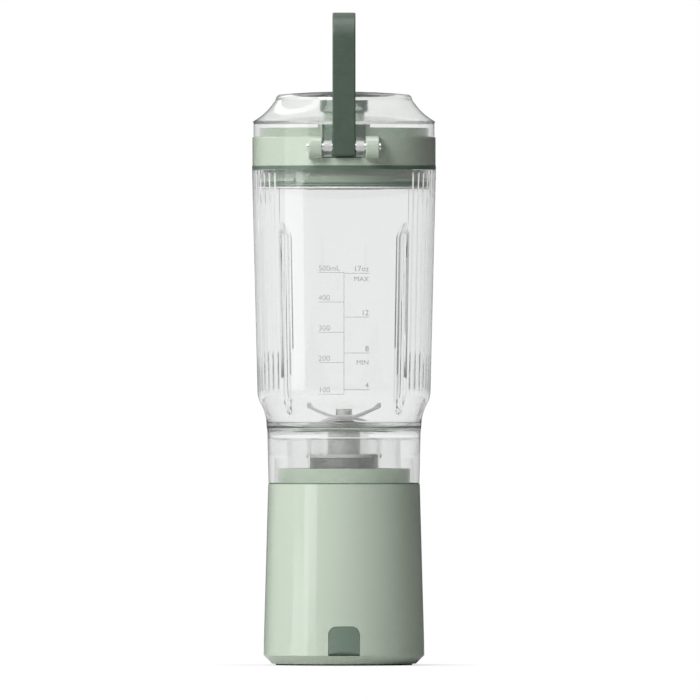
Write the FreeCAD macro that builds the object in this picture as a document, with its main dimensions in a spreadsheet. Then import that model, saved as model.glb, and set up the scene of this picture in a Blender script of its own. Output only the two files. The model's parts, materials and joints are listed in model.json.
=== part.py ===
"""Cordless portable blender: rechargeable base, clear jar, lid with flip dome and carry handle.

Frame: millimetres, +Z up, origin at the middle of the foot on the table. -Y is the side with
the charging flap, the lid hinge and the jar's scale; +Y is the side with the power button.
"""
import FreeCAD, Part
import os
from math import atan2, sqrt

import Sketcher

Vector = FreeCAD.Vector
Rotation = FreeCAD.Rotation

doc = FreeCAD.newDocument("portable_blender")
sheet = doc.addObject("Spreadsheet::Sheet", "sizes")

SIZES = {
    # fits
    "face_gap": 0.3,
    "running_gap": 0.05,
    "push_gap": 0.1,
    # base shell: heights are above the table, radii are outside ones
    "foot_height": 0.8,
    "seam_height": 3.0,
    "chamfer_height": 5.3,
    "base_height": 96.5,
    "bottom_radius": 38.4,
    "wide_radius": 42.9,
    "rim_radius": 40.4,
    "shell_wall": 2.4,
    # foot ring under the cover
    "pad_outer_radius": 36.4,
    "pad_width": 4.0,
    "pad_sink": 0.6,
    "pad_notch": 2.2,
    "pad_notch_depth": 0.5,
    # cover screws and the bosses they bite into
    "boss_radius": 4.0,
    "boss_height": 8.0,
    "cover_screw_hole": 7.5,
    "cover_screw_radius": 1.25,
    "cover_screw_length": 6.0,
    "cover_head_radius": 1.8,
    "cover_head_height": 0.8,
    # battery
    "cell_radius": 9.2,
    "cell_length": 65.2,
    "cell_spacing": 19.2,
    "tray_floor": 1.6,
    "tray_wall": 1.4,
    "tray_height": 15.6,
    "strip_thickness": 0.4,
    "strip_height": 8.0,
    "bay_radius": 37.6,
    "clamp_length": 56.0,
    "clamp_width": 30.0,
    "clamp_thickness": 1.8,
    # charging socket behind the flap
    "socket_width": 8.94,
    "socket_height": 3.26,
    "socket_length": 7.3,
    "socket_wall": 0.4,
    "socket_middle": 14.6,
    "tongue_thickness": 0.7,
    "tongue_width": 6.1,
    "charge_board_width": 17.0,
    "charge_board_length": 15.0,
    "charge_post_width": 8.0,
    "charge_post_inset": 2.0,
    "board_thickness": 1.6,
    # charging flap
    "flap_width": 16.2,
    "flap_bottom": 5.55,
    "flap_top": 20.6,
    "flap_corner": 4.2,
    "flap_skin": 1.6,
    "flap_swing_radius": 2.7,
    "flap_axle_radius": 0.8,
    "flap_axle_end": 0.9,
    "flap_barrel_radius": 1.0,
    "flap_barrel_length": 12.0,
    "flap_plug_width": 8.4,
    "flap_plug_height": 4.4,
    "recess_depth": 5.9,
    "recess_back": 2.0,
    "recess_border": 3.0,
    # power button
    "button_height": 52.0,
    "button_radius": 8.5,
    "button_proud": 0.5,
    "button_travel": 0.8,
    "button_flange_width": 1.1,
    "button_flange_thickness": 1.2,
    "stem_radius": 2.0,
    "stem_length": 0.8,
    "light_ring_width": 1.6,
    "light_ring_depth": 4.7,
    "button_sleeve_wall": 1.6,
    "switch_width": 6.0,
    "switch_depth": 2.6,
    "actuator_radius": 1.7,
    "actuator_length": 0.5,
    # main board
    "main_board_width": 31.0,
    "main_board_bottom": 27.0,
    "main_board_height": 48.0,
    "rail_grip": 0.9,
    "rail_wall": 1.8,
    # motor
    "motor_radius": 17.9,
    "motor_clearance": 8.2,
    "motor_wall": 1.2,
    "motor_drop": 8.5,
    "motor_cap_height": 5.0,
    "motor_nose_radius": 6.0,
    "motor_bearing_radius": 4.0,
    "motor_bearing_height": 4.0,
    "motor_shaft_radius": 1.6,
    "motor_shaft_rise": 5.1,
    "magnet_thickness": 3.8,
    "magnet_shortfall": 16.0,
    "magnet_angle": 140.0,
    "armature_radius": 12.0,
    "armature_lift": 7.0,
    "armature_shortfall": 12.0,
    "armature_slot": 2.4,
    "armature_slot_depth": 3.5,
    "commutator_radius": 4.0,
    "commutator_height": 5.0,
    "motor_screw_circle": 12.5,
    "motor_screw_radius": 1.5,
    "motor_screw_length": 9.0,
    "motor_head_radius": 2.75,
    "motor_head_height": 2.2,
    # deck that closes the base and carries the motor
    "deck_thickness": 3.0,
    "collar_radius": 35.2,
    "collar_height": 8.3,
    "collar_bore": 31.0,
    "groove_depth": 2.2,
    "groove_height": 5.0,
    "lug_length_angle": 20.0,
    "lug_slot_angle": 26.0,
    "lug_gap": 0.4,
    "motor_cup_wall": 2.0,
    "motor_cup_depth": 6.0,
    "seal_radius": 5.0,
    "seal_height": 3.0,
    # couplers
    "coupler_radius": 11.6,
    "coupler_disc": 2.0,
    "coupler_lift": 0.7,
    "tooth_height": 4.0,
    "tooth_inner_radius": 5.5,
    "tooth_angle": 26.0,
    # jar
    "jar_ring_height": 0.6,
    "jar_ring_width": 2.2,
    "jar_foot_radius": 40.2,
    "jar_waist_radius": 40.8,
    "jar_waist_rise": 27.7,
    "jar_flare_radius": 41.3,
    "jar_flare_rise": 31.4,
    "jar_shoulder_radius": 44.2,
    "jar_shoulder_rise": 42.6,
    "jar_body_radius": 46.1,
    "jar_body_rise": 49.0,
    "jar_mouth_radius": 49.0,
    "jar_mouth_rise": 167.5,
    "jar_wall": 2.8,
    "flare_bend": 23.0,
    "shoulder_bend": 14.0,
    "jar_floor_rise": 28.2,
    "jar_floor_thickness": 3.2,
    "jar_floor_radius": 36.8,
    "prong_radius": 30.4,
    "prong_wall": 2.5,
    "prong_end_rise": 1.5,
    "prong_angle": 44.0,
    "jar_lug_height": 2.6,
    "hub_boss_radius": 19.4,
    "flute_depth": 0.55,
    "flute_cutter": 2.4,
    "flute_top_gap": 1.2,
    "flute_bottom_gap": 1.0,
    "flute_first_angle": 48.8,
    "flute_step_angle": 5.47,
    "rib_width": 4.6,
    "rib_depth": 3.0,
    "rib_bottom_rise": 37.5,
    "rib_top_gap": 28.0,
    "rib_ramp": 8.0,
    "thread_height": 1.6,
    "thread_angle": 50.0,
    "thread_below_mouth": 2.8,
    "thread_gap": 0.36,
    "ridge_gap": 0.48,
    "ridge_drop": 0.4,
    # blade unit
    "nut_radius": 18.4,
    "nut_bore": 14.6,
    "nut_rise": 5.5,
    "nut_height": 8.5,
    "nut_plate": 3.0,
    "gasket_thickness": 2.0,
    "gasket_radius": 19.8,
    "neck_radius": 8.7,
    "neck_flange_width": 1.5,
    "neck_flange_height": 1.7,
    "neck_nose_radius": 5.8,
    "neck_nose_height": 2.6,
    "nose_bore": 3.2,
    "nose_wall": 3.0,
    "blade_bearing_radius": 5.5,
    "blade_bearing_height": 4.0,
    "blade_shaft_radius": 2.5,
    "blade_hub_radius": 5.2,
    "blade_hub_height": 2.6,
    "blade_thickness": 1.2,
    "blade_root": 8.0,
    "blade_width": 8.0,
    "blade_tip_width": 2.4,
    "upper_tip_radius": 20.0,
    "upper_tip_rise": 5.5,
    "lower_tip_radius": 22.5,
    "lower_tip_drop": 3.4,
    "cap_nut_radius": 4.4,
    "cap_nut_height": 3.6,
    # lid
    "lip_thickness": 2.0,
    "lid_inset": 0.2,
    "lid_ring_height": 15.4,
    "lid_edge": 0.4,
    "lid_collar_inset": 3.7,
    "lid_collar_height": 4.8,
    "lid_top_thickness": 2.7,
    "plug_inset": 4.9,
    "plug_wall": 2.3,
    "plug_depth": 9.0,
    "spout_offset": 20.0,
    "spout_width": 22.0,
    "spout_depth": 14.0,
    "spout_wall": 2.4,
    "spout_height": 10.1,
    # hinge of dome and handle
    "pin_overhang": 1.7,
    "pin_rise": 9.9,
    "pin_radius": 2.0,
    "pin_proud": 1.0,
    "pin_edge": 0.4,
    "lug_radius": 6.0,
    "lug_width": 7.2,
    "lug_edge": 0.7,
    "hinge_pocket_half": 11.3,
    "hinge_pocket_radius": 6.1,
    "hinge_pocket_depth": 7.9,
    "hinge_frame_width": 2.3,
    "hinge_frame_height": 1.7,
    "knuckle_radius": 5.15,
    "knuckle_width": 4.45,
    "arm_front": 1.6,
    "arm_back": 4.2,
    # dome
    "dome_inset": 0.6,
    "dome_wall": 2.3,
    "dome_skirt_height": 7.3,
    "dome_bead": 0.3,
    "dome_bead_height": 0.7,
    "dome_crown_inset": 11.8,
    "dome_flank_height": 11.6,
    "dome_flank_bend": 32.0,
    "dome_crown_run": 2.9,
    "dome_crown_rise": 2.8,
    "dome_crown_bend": 2.9,
    "dome_top_rise": 1.5,
    "dome_inner_crown_inset": 2.07,
    "dome_inner_crown_drop": 1.04,
    "dome_inner_flank_drop": 0.8,
    "thumb_tab_width": 16.0,
    "thumb_tab_reach": 7.5,
    "thumb_tab_thickness": 4.2,
    "thumb_tab_height": 1.3,
    "seal_overhang": 2.0,
    "spout_seal_height": 5.1,
    "seal_boss_margin": 3.0,
    "seal_boss_height": 3.2,
    # handle
    "handle_width": 12.26,
    "handle_thickness": 5.2,
    "handle_front": 4.0,
    "handle_end": 4.8,
    "handle_rise": 71.4,
    "handle_bend": 13.0,
    "handle_end_bend": 1.5,
    "handle_edge": 0.8,
}

LUG_DIRECTIONS = (-150, -30, 90)
RIB_DIRECTIONS = (45, 135, 225, 315)
BOSS_DIRECTIONS = (45, 135, 225, 315)
FLUTES_PER_SIDE = 16
TEETH = 6
FOOT_PADS = 40
ARMATURE_POLES = 5
RIDGE_TURN = 60
LOWER_BLADE_TURN = 60
UPPER_BLADE_TURN = -20
DOME_TOP_SHARES = (0.25, 0.5, 0.75)
EDGE_TOLERANCE = 0.01


class Size:
    """A length or an angle: its number, and the sheet expression that gives it."""

    def __init__(self, number, text):
        self.number = float(number)
        self.text = text

    def joined(self, sign, other, number):
        other_text = other.text if isinstance(other, Size) else repr(other)
        return Size(number, f"({self.text} {sign} {other_text})")

    def __add__(self, other):
        return self.joined("+", other, self.number + float(other))

    def __sub__(self, other):
        return self.joined("-", other, self.number - float(other))

    def __mul__(self, other):
        return self.joined("*", other, self.number * float(other))

    def __truediv__(self, other):
        return self.joined("/", other, self.number / float(other))

    def __neg__(self):
        return self * -1

    def __float__(self):
        return self.number


class Sheet:
    """The driving dimensions, each one read by its name."""

    def __getattr__(self, name):
        return Size(SIZES[name], f"sizes.{name}")


size = Sheet()
ZERO = Size(0, "0")


def fill_sheet():
    for row, (alias, value) in enumerate(SIZES.items(), start=1):
        sheet.set(f"A{row}", alias)
        sheet.set(f"B{row}", str(value))
        sheet.setAlias(f"B{row}", alias)
    doc.recompute()


# ---------------------------------------------------------------- building blocks

def bind(thing, name, value):
    """Tie one property of a thing to the sheet."""
    thing.setExpression(name, value.text)


def place(thing, x=ZERO, y=ZERO, z=ZERO, turn=Rotation()):
    thing.Placement = FreeCAD.Placement(Vector(float(x), float(y), float(z)), turn)
    for axis, value in (("x", x), ("y", y), ("z", z)):
        bind(thing, f"Placement.Base.{axis}", value)
    return thing


def new(kind, label=""):
    return doc.addObject(kind, label if label else "piece")


ALONG_X = Rotation(Vector(0, 1, 0), 90)
ALONG_Y = Rotation(Vector(1, 0, 0), -90)


def about_z(angle):
    return Rotation(Vector(0, 0, 1), angle)


def cylinder(radius, height, x=ZERO, y=ZERO, z=ZERO, turn=Rotation(), label=""):
    made = new("Part::Cylinder", label)
    bind(made, "Radius", radius)
    bind(made, "Height", height)
    return place(made, x, y, z, turn)


def sector(radius, height, angle, middle, z):
    """A pie slice about Z, centred on the direction called middle."""
    made = cylinder(radius, height, z=z, turn=about_z(middle - float(angle) / 2))
    bind(made, "Angle", angle)
    return made


def box(width, depth, height, x, y, z, label="", turn=Rotation()):
    """A box whose corner nearest -X, -Y, -Z is at x, y, z."""
    made = new("Part::Box", label)
    bind(made, "Length", width)
    bind(made, "Width", depth)
    bind(made, "Height", height)
    return place(made, x, y, z, turn)


def centred_box(width, depth, height, y, z, label=""):
    """A box centred on the YZ plane, from y and z onwards."""
    return box(width, depth, height, -width / 2, y, z, label)


def joined(pieces, label=""):
    made = new("Part::MultiFuse", label)
    made.Shapes = pieces
    made.Refine = True
    return made


def shared(pieces, label=""):
    made = new("Part::MultiCommon", label)
    made.Shapes = pieces
    made.Refine = True
    return made


def cut(base, tools, label=""):
    made = new("Part::Cut", label)
    made.Base = base
    made.Tool = tools[0] if len(tools) == 1 else joined(tools)
    made.Refine = True
    return made


def group(pieces, label):
    """Identical loose solids in one node."""
    made = new("Part::Compound", label)
    made.Links = pieces
    return made


def origin_plane(body, role):
    return next(plane for plane in body.Origin.OriginFeatures if plane.Role == role)


def arc_between(start, end, radius, turn):
    """The shorter arc from start to end that bends to the left or to the right."""
    chord = end - start
    half = chord.Length / 2
    normal = Vector(-chord.y, chord.x, 0).normalize()
    rise = sqrt(max(radius * radius - half * half, 0.0))
    side = 1 if turn == "left" else -1
    centre = (start + end) * 0.5 + normal * (rise * side)
    first, last = (start, end) if turn == "left" else (end, start)
    circle = Part.Circle(centre, Vector(0, 0, 1), radius)
    first_angle = atan2(first.y - centre.y, first.x - centre.x)
    last_angle = atan2(last.y - centre.y, last.x - centre.x)
    return Part.ArcOfCircle(circle, first_angle, last_angle)


def outline(body, role, corners, offset=ZERO):
    """A closed sketch. A corner is (x, y), or (x, y, radius, turn) when an arc leads to it."""
    sketch = body.newObject("Sketcher::SketchObject", f"{body.Name}_outline")
    sketch.AttachmentSupport = [(origin_plane(body, role), "")]
    sketch.MapMode = "FlatFace"
    sketch.AttachmentOffset = FreeCAD.Placement(Vector(0, 0, float(offset)), Rotation())
    bind(sketch, "AttachmentOffset.Base.z", offset)
    spots = [Vector(float(corner[0]), float(corner[1]), 0) for corner in corners]
    tips = []
    for index in range(len(corners)):
        target = (index + 1) % len(corners)
        start, end = spots[index], spots[target]
        if len(corners[target]) == 2:
            sketch.addGeometry(Part.LineSegment(start, end))
            tips.append((1, 2))
            continue
        radius, turn = corners[target][2:]
        sketch.addGeometry(arc_between(start, end, float(radius), turn))
        tips.append((1, 2) if turn == "left" else (2, 1))
        number = sketch.addConstraint(Sketcher.Constraint("Radius", index, float(radius)))
        sketch.setExpression(f"Constraints[{number}]", radius.text)
    for index, (first_tip, last_tip) in enumerate(tips):
        following = (index + 1) % len(tips)
        sketch.addConstraint(
            Sketcher.Constraint("Coincident", index, last_tip, following, tips[following][0]))
        for kind, value in zip(("DistanceX", "DistanceY"), corners[index][:2]):
            number = sketch.addConstraint(
                Sketcher.Constraint(kind, -1, 1, index, first_tip, float(value)))
            sketch.setExpression(f"Constraints[{number}]", value.text)
    return sketch


def turned(corners, label=""):
    """A body of revolution about Z. Corners are (radius, height)."""
    body = new("PartDesign::Body", label)
    profile = outline(body, "XZ_Plane", corners)
    revolution = body.newObject("PartDesign::Revolution", f"{body.Name}_turn")
    revolution.Profile = profile
    revolution.ReferenceAxis = (profile, ["V_Axis"])
    revolution.Angle = 360
    profile.Visibility = False
    return body


def padded(role, corners, length, label="", offset=ZERO):
    """An outline on an origin plane, padded by length from offset along the plane's normal."""
    body = new("PartDesign::Body", label)
    profile = outline(body, role, corners, offset)
    pad = body.newObject("PartDesign::Pad", f"{body.Name}_pad")
    pad.Profile = profile
    bind(pad, "Length", length)
    return body


def symmetric(body):
    """Pad to both sides of the sketch instead of one."""
    body.Tip.SideType = "Symmetric"
    return body


def soften(body, radius, wanted):
    """Round the edges of a body whose vertices are all wanted."""
    doc.recompute()
    base = body.Tip
    names = [f"Edge{number}" for number, edge in enumerate(base.Shape.Edges, start=1)
             if all(wanted(vertex.Point) for vertex in edge.Vertexes)]
    fillet = body.newObject("PartDesign::Fillet", f"{body.Name}_edges")
    fillet.Base = (base, names)
    bind(fillet, "Radius", radius)
    body.Tip = fillet


def rounded_rod(radius, height, edge, x=ZERO, y=ZERO, z=ZERO, turn=Rotation(), label=""):
    """A round bar along its own axis with rounded ends."""
    body = turned([
        (ZERO, ZERO),
        (radius - edge, ZERO),
        (radius, edge, edge, "left"),
        (radius, height - edge),
        (radius - edge, height, edge, "left"),
        (ZERO, height),
    ], label)
    return place(body, x, y, z, turn)


def rectangle(left, bottom, right, top):
    return [(left, bottom), (right, bottom), (right, top), (left, top)]


def tube(inner, outer, bottom, top, label=""):
    return turned(rectangle(inner, bottom, outer, top), label)


def ring_slice(inner, outer, height, angle, middle, z):
    """A piece of a ring about Z, centred on the direction called middle."""
    core = cylinder(inner, height * 3, z=z - height)
    return cut(sector(outer, height, angle, middle, z), [core])


def stadium(width, depth, height, y, z, label=""):
    """A block with round ends, long in X, centred on x = 0 and on y."""
    end = depth / 2
    middle = centred_box(width - depth, depth, height, y - end, z)
    left = cylinder(end, height, x=-(width - depth) / 2, y=y, z=z)
    right = cylinder(end, height, x=(width - depth) / 2, y=y, z=z)
    return joined([middle, left, right], label)


def spun(thing, angle):
    """Turn a piece about Z to one of its places round the part."""
    for path, _ in thing.ExpressionEngine:
        if path.startswith(".Placement"):
            thing.setExpression(path.lstrip("."), None)
    thing.Placement = FreeCAD.Placement(Vector(), about_z(angle)).multiply(thing.Placement)
    return thing


fill_sheet()

# ---------------------------------------------------------------- heights and radii in use

seam_radius = size.bottom_radius + (size.seam_height - size.foot_height) * (
    (size.wide_radius - size.bottom_radius) / (size.chamfer_height - size.foot_height))
motor_top = size.base_height - size.motor_drop
motor_shaft_top = size.base_height + size.motor_shaft_rise
jar_waist_height = size.base_height + size.jar_waist_rise
jar_flare_height = size.base_height + size.jar_flare_rise
jar_shoulder_height = size.base_height + size.jar_shoulder_rise
jar_body_height = size.base_height + size.jar_body_rise
jar_mouth_height = size.base_height + size.jar_mouth_rise
jar_floor_top = size.base_height + size.jar_floor_rise
prong_end_height = size.base_height + size.prong_end_rise
flute_top = jar_mouth_height - size.flute_top_gap
flute_bottom = jar_body_height + size.flute_bottom_gap
rib_bottom = size.base_height + size.rib_bottom_rise
rib_top = jar_mouth_height - size.rib_top_gap
nut_bottom = size.base_height + size.nut_rise
deck_underside = size.base_height - size.deck_thickness
jar_foot = size.base_height + size.jar_ring_height
cell_height = size.seam_height + size.tray_floor + size.cell_radius
clamp_top = cell_height + size.cell_radius + size.clamp_thickness
motor_bottom = clamp_top + size.motor_clearance + size.motor_cap_height
motor_length = motor_top - motor_bottom
magnet_height = motor_length - size.magnet_shortfall
armature_height = motor_length - size.armature_shortfall
jar_floor_underside = jar_floor_top - size.jar_floor_thickness
coupler_base = size.base_height + size.coupler_lift
drive_teeth_base = coupler_base + size.coupler_disc
lid_base = jar_mouth_height + size.lip_thickness
pin_height = lid_base + size.pin_rise
handle_top_height = pin_height + size.handle_rise
ring_top = lid_base + size.lid_ring_height
deck_top = ring_top + size.lid_collar_height
skirt_base = ring_top + size.face_gap
jar_bore_at_mouth = size.jar_mouth_radius - size.jar_wall
lid_radius = size.jar_mouth_radius - size.lid_inset
lid_collar_radius = lid_radius - size.lid_collar_inset
plug_radius = lid_radius - size.plug_inset
pin_offset = lid_radius + size.pin_overhang
hinge_pocket_back = pin_offset - size.hinge_pocket_depth
dome_radius = lid_radius - size.dome_inset
dome_crown_radius = dome_radius - size.dome_crown_inset
hinge_y = -pin_offset


def shell_radius_at(height):
    """Outside radius of the tapered base shell."""
    taper = (size.wide_radius - size.rim_radius) / (size.base_height - size.chamfer_height)
    return size.wide_radius - (height - size.chamfer_height) * taper


def jar_radius_at(height):
    """Outside radius of the jar above its shoulder."""
    taper = (size.jar_mouth_radius - size.jar_body_radius) / (
        jar_mouth_height - jar_body_height)
    return size.jar_body_radius + (height - jar_body_height) * taper


def envelope(extra=ZERO):
    """The base shell as if it were solid, grown by extra."""
    return turned([
        (ZERO, size.seam_height),
        (seam_radius + extra, size.seam_height),
        (size.wide_radius + extra, size.chamfer_height),
        (size.rim_radius + extra, size.base_height),
        (ZERO, size.base_height),
    ])


# ---------------------------------------------------------------- base: shell, cover, feet

pad_middle = size.pad_outer_radius - size.pad_width / 2
groove_top = size.foot_height + size.pad_sink
flap_axle_y = -shell_radius_at(size.flap_bottom) + size.flap_swing_radius
flap_axle_z = size.flap_bottom + size.flap_swing_radius
flap_back_y = -shell_radius_at(size.flap_bottom) + size.recess_depth
recess_half = size.flap_width / 2 + size.face_gap
board_half = size.main_board_width / 2
light_ring_back = shell_radius_at(size.button_height) - size.light_ring_depth
light_ring_inner = size.button_radius + size.face_gap
light_ring_outer = light_ring_inner + size.light_ring_width
flange_front = light_ring_back - size.face_gap
stem_back = flange_front - size.button_flange_thickness - size.stem_length
actuator_front = stem_back - size.button_travel - size.push_gap
switch_back = actuator_front - size.actuator_length - size.switch_depth
board_back = switch_back - size.board_thickness


def at_pad(direction):
    """X and Y of a cover screw, hidden under the foot ring."""
    spot = about_z(direction).multVec(Vector(1, 0, 0))
    return pad_middle * round(spot.x, 9), pad_middle * round(spot.y, 9)


def boss(direction):
    x, y = at_pad(direction)
    post = cylinder(size.boss_radius, size.boss_height, x, y, size.seam_height)
    web = spun(box(size.wide_radius - pad_middle, size.boss_radius, size.boss_height,
                   pad_middle, -size.boss_radius / 2, size.seam_height), direction)
    return joined([post, web])


def rail(side):
    """The guide that holds one edge of the main board."""
    width = size.rail_grip + size.rail_wall
    inner = board_half - size.rail_grip
    x = inner if side > 0 else -inner - width
    y = board_back - size.rail_wall
    base = size.main_board_bottom - size.rail_wall
    return box(width, size.wide_radius - y, size.main_board_height + size.rail_wall, x, y, base)


def flap_recess_block():
    half = recess_half + size.recess_border
    depth = size.recess_depth + size.recess_back
    height = size.flap_top + size.recess_border - size.seam_height
    return centred_box(half * 2, depth, height, flap_back_y - size.recess_depth,
                       size.seam_height)


def rounded_door(half, bottom, top, corner, depth, y):
    """A block with two round top corners, from y towards +Y."""
    shape = padded("XZ_Plane", [
        (-half, bottom), (half, bottom), (half, top - corner),
        (half - corner, top, corner, "left"), (-half + corner, top),
        (-half, top - corner, corner, "left"),
    ], depth)
    shape.Placement = FreeCAD.Placement(Vector(0, float(y + depth), 0), Rotation())
    bind(shape, "Placement.Base.y", y + depth)
    return shape


def base_housing():
    wall = turned([
        (seam_radius - size.shell_wall, size.seam_height),
        (seam_radius, size.seam_height),
        (size.wide_radius, size.chamfer_height),
        (size.rim_radius, size.base_height),
        (size.rim_radius - size.shell_wall, size.base_height),
        (size.wide_radius - size.shell_wall, size.chamfer_height),
    ])
    sleeve = cylinder(light_ring_outer + size.button_sleeve_wall,
                      shell_radius_at(size.button_height) - stem_back - size.stem_length,
                      y=stem_back + size.stem_length, z=size.button_height, turn=ALONG_Y)
    fittings = joined([boss(direction) for direction in BOSS_DIRECTIONS]
                      + [rail(-1), rail(1), flap_recess_block(), sleeve])
    whole = joined([wall, shared([fittings, envelope()])])
    recess = rounded_door(recess_half, size.flap_bottom - size.face_gap,
                          size.flap_top + size.face_gap, size.flap_corner + size.face_gap,
                          size.recess_depth * 2, flap_back_y - size.recess_depth * 2)
    mouth = socket_block(size.socket_width + size.face_gap * 2,
                         size.socket_height + size.face_gap * 2,
                         size.recess_back * 3, flap_back_y - size.recess_back)
    axle_length = (recess_half + size.flap_axle_end + size.push_gap) * 2
    axle_hole = cylinder(size.flap_axle_radius + size.push_gap, axle_length,
                         -axle_length / 2, flap_axle_y, flap_axle_z, ALONG_X)
    button_hole = cylinder(light_ring_outer, size.wide_radius, y=switch_back,
                           z=size.button_height, turn=ALONG_Y)
    screw_holes = [cylinder(size.cover_screw_radius, size.cover_screw_hole, *at_pad(direction),
                            size.seam_height)
                   for direction in BOSS_DIRECTIONS]
    slot = centred_box(size.main_board_width + size.push_gap * 2,
                       size.board_thickness + size.push_gap, size.main_board_height,
                       board_back, size.main_board_bottom)
    return cut(whole, [recess, mouth, axle_hole, button_hole, slot] + screw_holes,
               "base_housing")


def socket_block(width, height, length, y):
    """A bar with round ends in section, running along Y at the charging socket."""
    end = height / 2
    run = (width - height) / 2
    bottom = size.socket_middle - end
    middle = centred_box(width - height, length, height, y, bottom)
    left = cylinder(end, length, -run, y, size.socket_middle, ALONG_Y)
    right = cylinder(end, length, run, y, size.socket_middle, ALONG_Y)
    return joined([middle, left, right])


def base_cover():
    plate = turned([
        (ZERO, size.foot_height),
        (size.pad_outer_radius - size.pad_width, size.foot_height),
        (size.pad_outer_radius - size.pad_width, groove_top),
        (size.pad_outer_radius, groove_top),
        (size.pad_outer_radius, size.foot_height),
        (size.bottom_radius, size.foot_height),
        (seam_radius, size.seam_height),
        (ZERO, size.seam_height),
    ])
    post = centred_box(size.charge_post_width,
                       size.charge_board_length - size.charge_post_inset * 2,
                       charge_board_base - size.seam_height,
                       charge_board_y + size.charge_post_inset, size.seam_height)
    heads = [cylinder(size.cover_head_radius + size.push_gap / 2,
                      size.cover_head_height + size.push_gap / 2, *at_pad(direction),
                      groove_top) for direction in BOSS_DIRECTIONS]
    shanks = [cylinder(size.cover_screw_radius, size.seam_height, *at_pad(direction),
                       groove_top) for direction in BOSS_DIRECTIONS]
    return cut(joined([plate, post]), heads + shanks, "base_cover")


def cover_screws():
    screws = []
    for direction in BOSS_DIRECTIONS:
        x, y = at_pad(direction)
        head_base = groove_top + size.push_gap / 2
        head = cylinder(size.cover_head_radius, size.cover_head_height, x, y, head_base)
        shank = cylinder(size.cover_screw_radius, size.cover_screw_length, x, y,
                         head_base + size.cover_head_height)
        screws.append(joined([head, shank]))
    return group(screws, "cover_screws")


def foot_ring():
    ring = tube(size.pad_outer_radius - size.pad_width, size.pad_outer_radius, ZERO, groove_top)
    notches = []
    for pad in range(FOOT_PADS):
        notch = box(size.pad_width * 2, size.pad_notch, size.pad_notch_depth,
                    pad_middle, -size.pad_notch / 2, ZERO)
        notches.append(spun(notch, (pad + 0.5) * 360 / FOOT_PADS))
    return cut(ring, notches, "foot_ring")


# ---------------------------------------------------------------- base: battery and charging

charge_board_base = size.socket_middle - size.socket_height / 2 - size.board_thickness
charge_board_y = flap_back_y + size.recess_back + size.face_gap
cell_half = size.cell_length / 2
tray_floor_top = size.seam_height + size.tray_floor


def battery_tray():
    half = cell_half + size.strip_thickness + size.tray_wall
    depth = size.cell_spacing + size.cell_radius * 2
    floor = centred_box(half * 2, depth, size.tray_floor, -depth / 2, size.seam_height)
    walls = []
    for x in (-half, half - size.tray_wall):
        walls.append(box(size.tray_wall, depth, size.tray_height, x, -depth / 2,
                         tray_floor_top))
    bay = cylinder(size.bay_radius, size.cell_radius * 3, z=size.seam_height)
    return shared([joined([floor] + walls), bay], "battery_tray")


def battery_cell(label, side):
    return cylinder(size.cell_radius, size.cell_length, -cell_half,
                    size.cell_spacing / 2 * side, cell_height, ALONG_X, label)


def cell_strips():
    width = size.cell_spacing + size.cell_radius
    strips = []
    for x in (-cell_half - size.strip_thickness, cell_half):
        strips.append(box(size.strip_thickness, width, size.strip_height, x, -width / 2,
                          cell_height - size.strip_height / 2))
    return group(strips, "cell_strips")


def cell_clamp():
    return centred_box(size.clamp_length, size.clamp_width, size.clamp_thickness,
                       -size.clamp_width / 2, cell_height + size.cell_radius, "cell_clamp")


def charge_board():
    return centred_box(size.charge_board_width, size.charge_board_length,
                       size.board_thickness, charge_board_y, charge_board_base, "charge_board")


def charge_socket():
    front = flap_back_y + size.face_gap
    bore_width = size.socket_width - size.socket_wall * 2
    bore_height = size.socket_height - size.socket_wall * 2
    shell = cut(socket_block(size.socket_width, size.socket_height, size.socket_length, front),
                [socket_block(bore_width, bore_height, size.socket_length - size.socket_wall,
                              front)])
    tongue = centred_box(size.tongue_width, size.socket_length - size.socket_wall * 2,
                         size.tongue_thickness, front + size.socket_wall * 2,
                         size.socket_middle - size.tongue_thickness / 2)
    return joined([shell, tongue], "charge_socket")


def main_board():
    return centred_box(size.main_board_width, size.board_thickness, size.main_board_height,
                       board_back, size.main_board_bottom, "main_board")


def power_switch():
    body = centred_box(size.switch_width, size.switch_depth, size.switch_width, switch_back,
                       size.button_height - size.switch_width / 2)
    actuator = cylinder(size.actuator_radius, size.actuator_length,
                        y=switch_back + size.switch_depth, z=size.button_height, turn=ALONG_Y)
    return joined([body, actuator], "power_switch")


def light_ring():
    outer = cylinder(light_ring_outer, size.wide_radius, y=light_ring_back,
                     z=size.button_height, turn=ALONG_Y)
    bore = cylinder(light_ring_inner, size.wide_radius * 2, y=ZERO, z=size.button_height,
                    turn=ALONG_Y)
    return cut(shared([outer, envelope()]), [bore], "light_ring")


def power_button():
    cap = shared([
        cylinder(size.button_radius, size.wide_radius, y=flange_front, z=size.button_height,
                 turn=ALONG_Y),
        envelope(size.button_proud),
    ])
    flange = cylinder(size.button_radius + size.button_flange_width,
                      size.button_flange_thickness,
                      y=flange_front - size.button_flange_thickness, z=size.button_height,
                      turn=ALONG_Y)
    stem = cylinder(size.stem_radius, size.stem_length, y=stem_back, z=size.button_height,
                    turn=ALONG_Y)
    return joined([cap, flange, stem], "power_button")


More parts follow.
